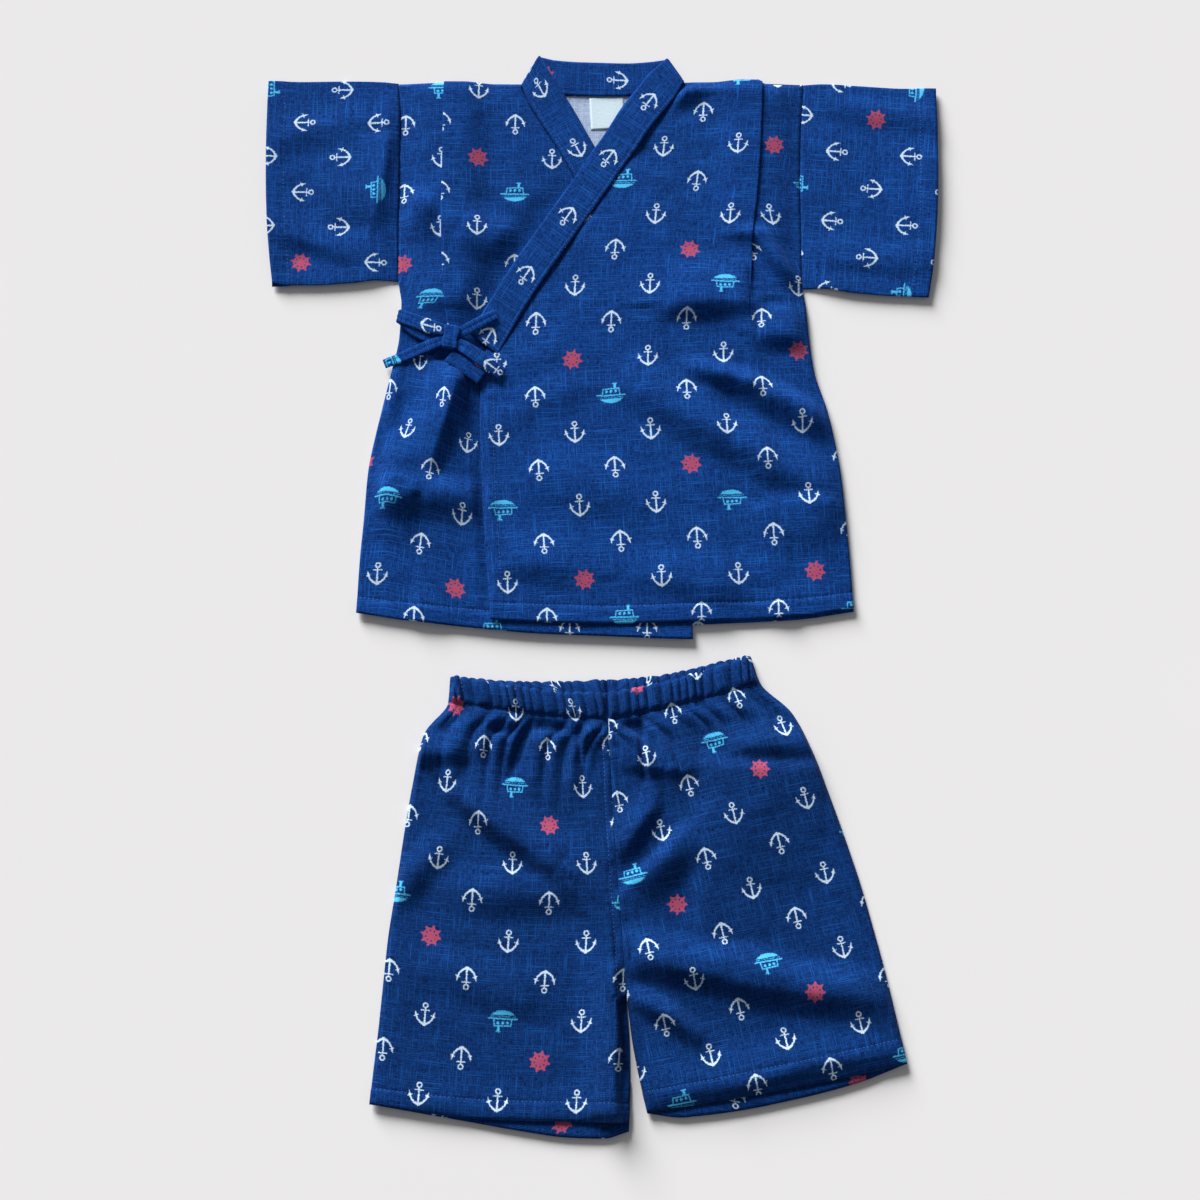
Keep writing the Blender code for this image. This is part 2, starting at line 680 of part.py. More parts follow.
# ---------------------------------------------------------------- shorts
def leg_point(section, across, layer, drops, height):
    """A leg's (x, up) on its front or back layer; across runs from the side fold to the middle."""
    x = section.side_x + (section.inner_x - section.side_x) * across
    up = section.side + (section.inner - section.side) * across
    low = max(0.0, 1.0 - height / HEM_SHARE) ** 2
    high = max(0.0, (height - WAIST_FROM) / (1.0 - WAIST_FROM)) ** 1.5
    up += read(drops, "across", "hem_" + layer, across) * low
    up += read(drops, "across", "waist_" + layer, across) * high
    return x, up


def leg_section(section, drops, height, spread, inset, toward):
    """A leg's wrapped section: middle seam, front layer, side fold, back layer, middle seam.

    spread is the distance between the two layers' middles, inset moves both inwards from the wall
    of the leg, and toward is the x direction from the side fold to the middle.
    """
    radius = (PITCH + spread) / 2.0 - inset
    low = WALL / 2.0 + inset
    high = low + 2.0 * radius
    gathered = smooth((height - GATHER_FROM) / GATHER_RUN)
    points = []
    for step in range(LEG_FRONT_STEPS + 1):
        across = 1.0 - step / LEG_FRONT_STEPS
        x, up = leg_point(section, across, "front", drops, height)
        rest = smooth(across / SEAM_REST)
        wave = GATHER * gathered * (0.5 - 0.5 * cos(pi * step)) * rest
        puff = ridges(SHORTS_FOLDS, x, up) * rest * (1.0 - gathered)
        points.append((x + toward * inset * (1.0 - across), up, high + wave + puff))
    for step in range(1, ARC_STEPS):
        angle = pi * step / ARC_STEPS
        x = section.side_x + toward * (inset - radius * sin(angle))
        points.append((x, section.side, high - radius * (1.0 - cos(angle))))
    for step in range(LEG_BACK_STEPS + 1):
        across = step / LEG_BACK_STEPS
        x, up = leg_point(section, across, "back", drops, height)
        points.append((x + toward * inset * (1.0 - across), up, low))
    return points


def leg_rows(table, drops, toward):
    """Sections of one leg from its hem up to the waist, and down again inside the casing."""
    rows = []
    last = len(table) - 1
    for index, section in enumerate(table):
        spread = CASING_LIFT * smooth((index - (last - 3)) / 2.0)
        rows.append(leg_section(section, drops, index / last, spread, 0.0, toward))
    waist = table[-1]
    casing = table[-2]
    for step in range(1, ARC_STEPS):
        angle = pi * step / ARC_STEPS
        inset = TURN * (1.0 - cos(angle))
        rise = TURN * sin(angle)
        turned = waist._replace(inner=waist.inner + rise, side=waist.side + rise)
        rows.append(leg_section(turned, drops, 1.0, CASING_LIFT, inset, toward))
    rows.append(leg_section(waist, drops, 1.0, CASING_LIFT, PITCH, toward))
    inside = Leg(*(top + (low - top) * CASING_SHARE for top, low in zip(waist, casing)))
    height = 1.0 - CASING_SHARE / last
    rows.append(leg_section(inside, drops, height, CASING_LIFT, PITCH, toward))
    return rows


# ---------------------------------------------------------------- the set
for old in list(bpy.data.objects):
    bpy.data.objects.remove(old)
PARTS = bpy.data.collections.new("jinbei_set")
bpy.context.scene.collection.children.link(PARTS)

COTTON = material("printed navy slub cotton", (0.012, 0.045, 0.21), 0.85)
BAND_COTTON = material("folded navy slub cotton", (0.014, 0.05, 0.24), 0.85)
TIE_COTTON = material("navy slub cotton ties", (0.018, 0.065, 0.29), 0.85)
SHORTS_COTTON = material("navy slub cotton of the shorts", (0.011, 0.04, 0.19), 0.85)
LABEL_TAPE = material("white woven label tape", (0.82, 0.83, 0.85), 0.8)

cloth("back", [back_row(up) for up in BACK_ROWS], JACKET_AT, WALL, COTTON)
cloth("front_right", [front_row(up, False) for up in BODY_ROWS], JACKET_AT, WALL, COTTON)
cloth("front_left", [front_row(up, True) for up in BODY_ROWS], JACKET_AT, WALL, COTTON)
cloth("sleeve_right", sleeve_rows(RIGHT_SLEEVE, "right", RIGHT_CUFF), JACKET_AT, WALL, COTTON, ring=True)
cloth("sleeve_left", sleeve_rows(LEFT_SLEEVE, "left", LEFT_CUFF), JACKET_AT, WALL, COTTON, ring=True)
cloth("collar", collar_rows(), JACKET_AT, BAND_WALL, BAND_COTTON)
label(LABEL_TAPE)
cloth("tie_loop", loop_rows(), JACKET_AT, BAND_WALL, TIE_COTTON)
for tie_name, tie_stretch in TIES.items():
    cloth(tie_name, strap_rows(tie_stretch), JACKET_AT, BAND_WALL, TIE_COTTON)
knot(TIE_COTTON)
cloth("leg_right", leg_rows(RIGHT_LEG, RIGHT_DROPS, 1.0), SHORTS_AT, WALL, SHORTS_COTTON)
cloth("leg_left", leg_rows(LEFT_LEG, LEFT_DROPS, -1.0), SHORTS_AT, WALL, SHORTS_COTTON)
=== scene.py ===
"""A child's jinbei set laid flat on a table: a wrap jacket tied with a bow, above its shorts.

Every piece of cloth is a thin shell laid on the middle of its solid in the frame, with hems, tucks,
gathers and soft folds, and carries its place in the cloth it was cut from as a UV map, in metres.
The print and the weave follow that map. Tables are in millimetres. In the jacket's tables x runs
from its middle line and `up` from its hem line; in the shorts' tables from theirs.
"""

from collections import namedtuple
from functools import lru_cache
from math import ceil, cos, exp, hypot, pi, radians, sin

import bpy
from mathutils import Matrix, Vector, noise
from mathutils.bvhtree import BVHTree


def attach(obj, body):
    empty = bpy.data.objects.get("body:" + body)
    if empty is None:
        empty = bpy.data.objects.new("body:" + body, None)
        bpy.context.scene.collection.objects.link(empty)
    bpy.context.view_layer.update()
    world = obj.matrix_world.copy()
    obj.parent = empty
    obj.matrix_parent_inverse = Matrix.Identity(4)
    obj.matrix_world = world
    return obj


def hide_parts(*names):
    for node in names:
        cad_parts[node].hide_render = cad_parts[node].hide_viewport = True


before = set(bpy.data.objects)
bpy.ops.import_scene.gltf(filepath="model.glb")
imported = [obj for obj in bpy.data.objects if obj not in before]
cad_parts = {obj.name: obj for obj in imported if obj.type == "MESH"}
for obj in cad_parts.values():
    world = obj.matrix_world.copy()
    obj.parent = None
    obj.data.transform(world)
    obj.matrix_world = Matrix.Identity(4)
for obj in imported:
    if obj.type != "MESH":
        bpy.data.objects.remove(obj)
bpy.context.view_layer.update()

# ---------------------------------------------------------------- driving sizes (mm)
MM = 0.001
WALL = 1                        # the frame's wall for one layer of cloth
BAND_WALL = 1.6                 # and for a band folded double
GAP = 0.3                       # the frame's gap between pieces
PITCH = WALL + GAP
TURN = PITCH / 2                # bend radius of a layer folded flat
EASE = 0.3                      # a tucked layer's own room above the strip under it
CLOTH = 0.5                     # the real cloth's thickness
HEM_CLOTH = 1                   # and where it is turned up double
BAND_CLOTH = 0.4                # the ties' and the collar's, inside their outer faces
HEM_DEPTH = 14                  # width of the jacket's and the shorts' hems
LIFT_UNDER = 0.5                # height of the middle of a layer that rests on the table
BACK_LEVEL = 0.5                # and of the middle of the back's one layer

UP = Vector((0, 0, 1))
JACKET_AT = Vector((0.3, -44.2, 0))  # the jacket's middle line and hem line
SHORTS_AT = Vector((11.3, -418.2, 0))  # the shorts' middle line and hem line
JACKET_LENGTH = 452             # from hem to shoulder line
HEM_REACH = 260                 # the hem's curve fades out this far up
CELL = 2.5                      # side of a cell in the sheets' grids

PRINT_PITCH = 60                # the print's square lattice


# ---------------------------------------------------------------- tables of sections (mm)
def rows_of(kind, *rows):
    """A table: its rows are all of one kind, a namedtuple or the names of its fields."""
    kind = namedtuple("Row", kind) if isinstance(kind, str) else kind
    return tuple(kind(*row) for row in rows)


BODY_SIDES = rows_of(
    "up right left",
    (0, -191.3, 195), (45, -189.5, 193), (80, -187, 190.5), (120, -184.5, 187.2),
    (150, -179.5, 182.5), (175, -174, 177), (205, -167.5, 168.3), (235, -162, 164.5),
    (262, -161, 162.4), (276, -163, 160.4), (283, -164, 160), (360, -164.5, 160),
    (420, -164.8, 162), (452, -166.6, 164.7),
)

# Where the under (right) front and the over (left) front end.
FRONT_EDGES = rows_of(
    "up right left",
    (0, 70, -87), (45, 69, -90.3), (120, 67, -95.3), (165, 65.5, -97), (205, 63, -97),
    (225, 61.5, -92), (250, 50.5, -72.5), (283, 32, -51), (318, 12, -28), (345, -3, -10),
    (370, -17, 7), (393, -28.5, 22), (415, -44, 38), (432, -54, 51), (444, -62, 59),
    (452, -65.5, 67),
)

HEM_LINES = rows_of(
    "across right left back",
    (-192, 9, 12, 9.5), (-150, 2.5, 8, 3.5), (-100, -3, 4, -2), (-50, -7.5, 1.3, -5.5),
    (0, -9.5, 0, -5), (72, -12, 2, -0.5), (150, -12, 6, 3.5), (195, -12, 12.5, 10),
)

Tuck = namedtuple("Tuck", "up fold depth turn")
# Fold edge, half of the cloth it takes up, and its turning angle.
RIGHT_TUCK = rows_of(
    Tuck,
    (0, -146, 5, 8), (90, -137, 5, 8), (165, -126, 4, 10), (205, -121, 3, 25), (225, -121, 1.2, 60),
    (245, -123.5, 1.6, 180), (270, -126.5, 10, 180), (300, -128.4, 13, 180),
    (340, -129.5, 13.3, 180), (452, -129, 13.3, 180),
)
LEFT_TUCK = rows_of(
    Tuck,
    (0, 150, 5, 8), (90, 141, 5, 8), (165, 129, 5, 8), (225, 121, 4, 12), (262, 118.5, 3, 25),
    (283, 119, 2, 60), (300, 119.5, 2, 180), (322, 120.5, 9, 180), (350, 124, 13, 180),
    (390, 127.5, 13.3, 180), (452, 130.4, 13.3, 180),
)

# ---------------------------------------------------------------- soft folds (mm)
Fold = namedtuple("Fold", "x1 up1 x2 up2 height before after")
# Ridges, and troughs where height is negative.
JACKET_FOLDS = rows_of(
    Fold,
    (-167, 218, -171, 166, 5, 13, 14), (-158, 156, -168, 80, 4.5, 24, 22),
    (-106, 224, -140, 116, 7, 13, 30), (-178, 106, -96, 100, 5.5, 22, 24),
    (-103, 206, -103, 150, -4.5, 10, 8), (-138, 221, -118, 219, -5, 6, 6),
    (-125, 220, -92, 197, -4.6, 13, 12), (-162, 346, -134, 340, 4.2, 20, 40),
    (-112, 330, -66, 306, 3.6, 24, 28), (48, 440, 106, 445, 3.4, 10, 24),
    (52, 262, 118, 264, 5.5, 50, 20), (121, 322, 158, 272, 5, 12, 10),
    (124, 234, 164, 230, 4.5, 40, 14), (66, 206, 118, 194, 4.5, 14, 12),
    (108, 198, 200, 154, 6, 16, 22), (24, 192, 186, 98, 5.5, 34, 24), (140, 92, 196, 84, 4, 16, 50),
    (-78, 50, -28, 44, 2.4, 34, 22), (20, 36, 110, 30, 2.4, 36, 18), (56, 430, 90, 438, -3, 12, 16),
    (-60, 120, 40, 100, 2, 34, 30), (-70, 170, -20, 190, 1.9, 24, 22),
)
SHORTS_FOLDS = rows_of(
    Fold,
    (-166, 272, -110, 274, 4.5, 22, 12), (-126, 246, -46, 184, 6.8, 34, 14),
    (-56, 196, -4, 134, 3, 30, 14), (-120, 172, -30, 166, 3.5, 26, 26),
    (-168, 160, -128, 206, 3, 20, 18), (-150, 110, -60, 90, 2.5, 26, 24),
    (84, 281, 152, 277, 6, 22, 13), (2, 270, 58, 264, 4, 22, 13), (66, 262, 160, 256, 6, 22, 100),
    (66, 236, 74, 130, 3.4, 70, 24), (-2, 194, 28, 236, 5, 20, 11), (10, 174, 54, 214, 6, 11, 30),
    (12, 120, 110, 100, 8, 28, 22), (100, 102, 200, 84, 7.5, 28, 24), (12, 92, 64, 56, 5, 13, 13),
    (30, 16, 205, 52, 3, 36, 12), (-3, 116, -1, -30, 7.6, 9, 32), (-62, 300, -80, 256, -3.5, 5, 7),
    (-27, 298, -30, 262, -3, 4, 6), (17, 304, 21, 254, -3, 5, 5), (-98, 292, -76, 288, -3.5, 10, 8),
    (-62, 293, -36, 292, -3.5, 9, 8), (4, 292, 20, 290, -3.5, 8, 8),
)


# ---------------------------------------------------------------- reading the tables
@lru_cache(maxsize=None)
def knots(table, key, column):
    """A column's keys, values and slopes, with level tops where it turns."""
    keys = [getattr(row, key) for row in table]
    values = [getattr(row, column) for row in table]
    secants = [(b - a) / (d - c) for a, b, c, d in zip(values, values[1:], keys, keys[1:])]
    slopes = [secants[0]]
    for before, after in zip(secants, secants[1:]):
        level = before * after <= 0
        slopes.append(0 if level else 2 * before * after / (before + after))
    slopes.append(secants[-1])
    return keys, values, slopes


def read(table, column, at, key=None):
    """One column of a table, on a smooth curve, at a value of its first column or of key."""
    keys, values, slopes = knots(table, key or table[0]._fields[0], column)
    if at <= keys[0]:
        return values[0]
    if at >= keys[-1]:
        return values[-1]
    index = max(i for i, value in enumerate(keys) if value <= at)
    run = keys[index + 1] - keys[index]
    t = (at - keys[index]) / run
    rise = t * t * (3 - 2 * t)
    start = slopes[index] * run * t * (1 - t) ** 2
    end = slopes[index + 1] * run * t * t * (t - 1)
    return values[index] + (values[index + 1] - values[index]) * rise + start + end


def smooth(value):
    """0 to 1 with soft ends."""
    value = min(max(value, 0), 1)
    return value * value * (3 - 2 * value)


def steps(start, end, count):
    """count + 1 values from start to end."""
    return [start + (end - start) * index / count for index in range(count + 1)]


def shares(count):
    return steps(0, 1, count)


def rows_between(start, end, cell):
    return steps(start, end, ceil((end - start) / cell))


# ---------------------------------------------------------------- soft relief
WANDER = 5                      # how far a fold strays from its straight line
DEPTH = 1.7                     # the folds' own heights are drawn this much deeper
CRUMPLE = 1.1                   # height of the cloth's own small unevenness
FOLD_ENDS = 0.3                 # share of its height that a fold keeps at its ends
GROOVE, GROOVE_HALF = 0.45, 1.5     # depth and half width of the dent along stitching
PUCKER, PUCKER_PITCH, PUCKER_REACH = 0.3, 6.5, 5
CEILING, GIVE = 10.5, 2         # folds flatten above this height, and never rise over their sum


def relief(folds, x, up):
    """Height of the soft folds at a point. Each is rounder on one flank than on the other."""
    stray = noise.noise(Vector((x / 55, up / 55, 3.1)))
    sway = noise.noise(Vector((x / 60, up / 60, 8.7)))
    place = Vector((x + WANDER * stray, up + WANDER * sway))
    total = 0
    for fold in folds:
        start = Vector((fold.x1, fold.up1))
        run = Vector((fold.x2, fold.up2)) - start
        share = (place - start).dot(run) / run.length_squared
        along = min(max(share, 0), 1)
        apart = place - start - run * along
        side = run.x * apart.y - run.y * apart.x
        width = fold.before if side > 0 else fold.after
        off = apart.length / width
        if off < 1:
            reach = FOLD_ENDS + (1 - FOLD_ENDS) * sin(pi * along) ** 0.6
            total += DEPTH * fold.height * smooth(1 - off) * reach
    return total if total < CEILING else CEILING + GIVE - GIVE * exp((CEILING - total) / GIVE)


def crumple(x, up, seed):
    """Small unevenness of washed slub cotton."""
    broad = noise.noise(Vector((x / 42, up / 34, seed)))
    fine = noise.noise(Vector((x / 15, up / 11, seed + 5)))
    return CRUMPLE * (broad + 0.35 * fine)


def groove(off):
    """Height of the dent along a line of stitching, off mm from it."""
    return -GROOVE * exp(-((off / GROOVE_HALF) ** 2))


def pucker(along, off, seed):
    """Small draws beside a line of stitching, off mm from it."""
    phase = along / PUCKER_PITCH + 1.3 * noise.noise(Vector((along / 24, seed, 0.5)))
    return PUCKER * sin(2 * pi * phase) * exp(-abs(off) / PUCKER_REACH)


# ---------------------------------------------------------------- meshes
Point = namedtuple("Point", "x up level u v hem")


def linked(name, mesh):
    """A new object in the scene."""
    piece = bpy.data.objects.new(name, mesh)
    bpy.context.scene.collection.objects.link(piece)
    return piece


def woven(name, rows, at, finishes, wide, turned=False):
    """A sheet through rows of Points, wide points to a row, with its places in the cloth."""
    places = [(Vector(p[:3]) + at) * MM for row in rows for p in row[:wide]]
    faces, corners = [], []
    for r in range(len(rows) - 1):
        for c in range(len(rows[0]) - 1):
            cell = [(r, c), (r, c + 1), (r + 1, c + 1), (r + 1, c)]
            if turned:
                cell.reverse()
            faces.append([a * wide + b % wide for a, b in cell])
            corners += [value * MM for a, b in cell for value in (rows[a][b].u, rows[a][b].v)]
    mesh = bpy.data.meshes.new(name)
    mesh.from_pydata(places, [], faces)
    mesh.uv_layers.new(name="cut").uv.foreach_set("vector", corners)
    for finish in finishes:
        mesh.materials.append(finish)
    return linked(name + "_cloth", mesh)


def lay(
    name, rows, at, finishes, turned=False, ring=False, hem_slot=0, slot="printed_cotton",
    thick=HEM_CLOTH,
):
    """A thin shell of cloth: a grid through rows of Points, given its thickness on both sides.

    A cell's finish shows where the grid runs right and up, or left and up when it is turned, and
    the next finish in the list shows behind it. Hems take the finish number hem_slot, and the rest
    the other of the first two. A ring's first and last columns are one line of the mesh.
    """
    wide = len(rows[0]) - 1 if ring else len(rows[0])
    slots = [
        hem_slot if point.hem > 0.5 else 1 - hem_slot for row in rows[:-1] for point in row[:-1]
    ]
    piece = woven(name, rows, at, finishes, wide, turned)
    if len(finishes) > 1:
        piece.data.polygons.foreach_set("material_index", slots)
    hem = piece.vertex_groups.new(name="hem")
    for r, row in enumerate(rows):
        for c, point in enumerate(row[:wide]):
            if point.hem > 0:
                hem.add([r * wide + c], point.hem, "REPLACE")
    wall = piece.modifiers.new("thickness", "SOLIDIFY")
    wall.thickness = thick * MM
    wall.offset = 0
    wall.vertex_group = "hem"
    wall.thickness_vertex_group = CLOTH / HEM_CLOTH
    wall.material_offset = 1 if len(finishes) > 1 else 0
    return finished(piece, name, slot=slot)


def select(piece):
    """Makes a piece the only one selected, and the active one."""
    bpy.ops.object.select_all(action="DESELECT")
    piece.select_set(True)
    bpy.context.view_layer.objects.active = piece


def finished(piece, *nodes, slot="printed_cotton"):
    """Applies a piece's modifiers, smooths it, parents it under the root, and hides the CAD parts
    named in nodes.
    """
    select(piece)
    for modifier in list(piece.modifiers):
        bpy.ops.object.modifier_apply(modifier=modifier.name)
    piece.data.polygons.foreach_set("use_smooth", [True] * len(piece.data.polygons))
    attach(piece, "root")
    if nodes:
        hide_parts(*nodes)
    return piece


# ---------------------------------------------------------------- the jacket's body
ARC_STEPS = 5                   # cells round each turn of a tuck
STRIP_STEPS = 15                # cells across a shoulder strip
DEPTH_STEPS = 5                 # cells down a tuck
TUCK_SLOPE = 26                 # the panel comes down from its tuck over this width
OPEN_TURN = 60                  # a tuck turned less than this is open, in degrees
OPEN_RADIUS = 20                # and bends no wider than this
PRESSED_TURN = 30               # a back tuck turned more than this is pressed under its layer
BACK_RELEASE = 30               # the back's tucks open this much higher than the fronts'
BACK_RELEASE_RUN = 60           # except towards the shoulder line, over this height
OVERLAP_HOLD = 18               # the over front stays up this far past what it covers
OVERLAP_FADE = 22               # and comes down over this width
COLLAR_REACH = 29               # from a collar's free edge to its seam, level
COLLAR_LEAD_UP = 165            # the over front rises for the under collar from here
COLLAR_LEAD = 35                # over this height
SHOULDER_STEP = 1.6             # half the step between the left shoulder's strip and its middle
NECK_DIP = 6                    # the back's neck edge dips this much
SHOULDER_TURNING = 445          # above here the back is turned in double, as at its hem
EDGE_LIFT = 2.6                 # hems stand this much off the table
LOFT = 2.8                      # the fronts lie this much above what is under them
LOFT_FADE = 24                  # and come down to it over this width at their edges
FREE_EDGE = 1.3                 # height of the over front's free edge above the under front
HEM_EASE = 34                   # how far up the hem's lift reaches
SIDE_EASE = 24                  # and how far in that of the side seams
ARMPIT = 272                    # the side seams end here
SIDE_LIFT = 0.6                 # share of EDGE_LIFT at the side seams
SHOULDER_FROM, SHOULDER_RUN = 400, 50   # the shoulder's steps and dip grow over this height
STRIP_EDGE = 131                # x where the left shoulder's strip ends
NECK_HALF = 70                  # half the width of the back's neck edge
UNDER_COLLAR_FROM = 180         # the under collar is the under front's edge from here
BACK_PRINT = (16, -24)          # the middle and the hem line of each layer in the print
RIGHT_PRINT_UP, LEFT_PRINT_UP = -386, -217
LEFT_PRINT_LEVEL = 38           # x about which the left front's print slopes
RIGHT_DRIFT = (-105, 0.22, 14)  # the right front's print sinks left of this x: slope and most
COLLAR_FROM = 205               # the collar's ends lie above here
FRONT_SPAN = {"left": 230, "right": 200}    # the fronts' widths, for the size of their cells
TURNING = 10                    # width of the over front's turned edge

# X of one column of the print, and how closely the rest follow.
RIGHT_PRINT = rows_of(
    "up column stretch",
    (0, -115.5, 0.97), (40, -114, 0.98), (100, -109, 1.03), (145, -106.8, 1.2), (185, -103, 1.36),
    (220, -102, 1.38), (268, -100.5, 1), (386, -101, 1), (452, -101, 1),
)
LEFT_PRINT = rows_of(
    "up column slope",
    (0, -13, 0.04), (35, -14, 0.04), (95, -18, 0.05), (156, -22, 0.045), (216, -24, 0.045),
    (247, -23, 0.02), (277, -22, 0), (337, -17, 0), (397, -10, 0), (452, -6, 0),
)


def tuck_path(tuck, inward, climb):
    """A tuck's section from the shoulder strip to the panel, as (x, rise) about its fold edge."""
    angle = radians(tuck.turn)
    radius = min(TURN * max(1, (OPEN_TURN / tuck.turn) ** 2), OPEN_RADIUS)
    step = angle / ARC_STEPS
    chord = 2 * radius * sin(step / 2)
    headings = [(index + 0.5) * step for index in range(ARC_STEPS)]
    moves = [(chord, heading) for heading in headings]
    moves += [(tuck.depth / DEPTH_STEPS, angle)] * DEPTH_STEPS
    moves += [(chord, heading) for heading in reversed(headings)]
    x, rise, length = 0, 0, 0
    path = [(x, rise, length)]
    for move, heading in moves:
        x += move * cos(heading)
        rise += move * sin(heading)
        length += move
        path.append((x, rise, length))
    edge = min(path[ARC_STEPS + DEPTH_STEPS - 1][0], path[ARC_STEPS + DEPTH_STEPS + 1][0])
    return [(tuck.fold + inward * (px - edge), climb * pz, s) for px, pz, s in path]


def tuck_at(table, up):
    """A tuck as it is at a height."""
    return Tuck(up, *(read(table, column, up) for column in ("fold", "depth", "turn")))


def back_half(up, side):
    """Half a section of the back, from its side edge to its inner tuck turn, as (x, level)."""
    table, inward = (LEFT_TUCK, -1) if side == "left" else (RIGHT_TUCK, 1)
    release = BACK_RELEASE * smooth((JACKET_LENGTH - up) / BACK_RELEASE_RUN)
    tuck = tuck_at(table, up - release)
    pressed = smooth((tuck.turn - PRESSED_TURN) / OPEN_TURN)
    path = tuck_path(tuck, inward, -pressed)
    rise = -path[-1][1]
    side_x, start_x = read(BODY_SIDES, side, up), path[0][0]
    points = [
        (side_x + (start_x - side_x) * share, BACK_LEVEL + rise * smooth(share * 1.2))
        for share in shares(STRIP_STEPS)
    ]
    return points + [(x, BACK_LEVEL + rise + drop) for x, drop, _ in path[1:]]


def in_hem(off):
    """1 inside a hem, off mm from its edge, and 0 beyond its stitching."""
    return 1 - smooth((off - HEM_DEPTH + 1.5) / 2)


def hem_shift(x, up, column):
    """How far the hem's curve moves a point up."""
    fade = max(0, 1 - up / HEM_REACH)
    return read(HEM_LINES, column, x) * fade * fade


def shoulder_share(up):
    """0 below the shoulder's slope, and 1 near its line."""
    return smooth((up - SHOULDER_FROM) / SHOULDER_RUN)


def shoulder_shift(x, up):
    """On the left side the tucked middle rides above the shoulder strip."""
    inside = smooth((STRIP_EDGE - x) / 4) * smooth((x - 45) / 25)
    outside = smooth((x - STRIP_EDGE) / 4)
    return SHOULDER_STEP * (inside - outside) * shoulder_share(up)


def under_edge(up):
    """Outermost x of the under front at a height, or of its collar."""
    front = read(FRONT_EDGES, "right", up)
    collar = read(COLLAR_RIGHT, "free_x", up, key="free")
    return front + (collar - front) * smooth((up - UNDER_COLLAR_FROM) / 42)


def over_lift(x, up):
    """Lift of the over front above the plain front's level, by what lies under it."""
    covered = smooth(1 - (x - under_edge(up) - OVERLAP_HOLD) / OVERLAP_FADE)
    seam = under_edge(up) - COLLAR_REACH
    band_low = smooth(1 - (seam - OVERLAP_HOLD - x) / OVERLAP_FADE)
    band_end = smooth((up - COLLAR_LEAD_UP) / COLLAR_LEAD)
    return (PITCH + GAP) * covered + (BAND_WALL + GAP) * covered * band_low * band_end


def right_print(x, y):
    """Place of a point of the right front in the print."""
    column = read(RIGHT_PRINT, "column", y)
    stretch = read(RIGHT_PRINT, "stretch", y) if x < column else 1
    start, slope, most = RIGHT_DRIFT
    rise = min(slope * max(start - x, 0), most) * smooth((265 - y) / 45)
    return (x - column) * stretch, y + RIGHT_PRINT_UP - rise, stretch


def left_print(x, y):
    """Place of a point of the left front in the print."""
    rise = read(LEFT_PRINT, "slope", y) * (x - LEFT_PRINT_LEVEL)
    return x - read(LEFT_PRINT, "column", y), y + LEFT_PRINT_UP - rise, 1


def edge_lift(up, side_off):
    """How far the body's hem and its side seams stand off the table."""
    seam = SIDE_LIFT * smooth(1 - abs(side_off) / SIDE_EASE) * smooth((ARMPIT - up) / SIDE_EASE)
    return EDGE_LIFT * max(smooth(1 - up / HEM_EASE), seam)


def front_height(x, up, over, edge_x, side_x):
    """The front's own soft height above its flat level."""
    height = relief(JACKET_FOLDS, x, up) + crumple(x, up, 2 if over else 9)
    inner = abs(x - edge_x)
    free = 0
    if over:
        share = smooth(inner / (7 + 6 * smooth((up - COLLAR_FROM) / 25)))
        free = FREE_EDGE * smooth(1 - inner / 14) * smooth((212 - up) / 10)
    else:
        banded = smooth((up - COLLAR_FROM) / 30)
        covered = read(FRONT_EDGES, "left", up) - COLLAR_REACH * banded
        share = smooth((covered - x) / (9 + 21 * banded)) * smooth(inner / 20)
    loft = LOFT * smooth(abs(x - side_x) / LOFT_FADE) * smooth(up / 40)
    loft *= 1 - 0.5 * smooth((up - COLLAR_FROM) / 25) * smooth(1 - inner / 60)
    height = (height + loft) * share * smooth((JACKET_LENGTH - up) / 14 + 0.25)
    height *= smooth(abs(x - side_x) / 16 + 0.2)
    return free + (height if height > 0 else 0.4 * (exp(height / 0.4) - 1))


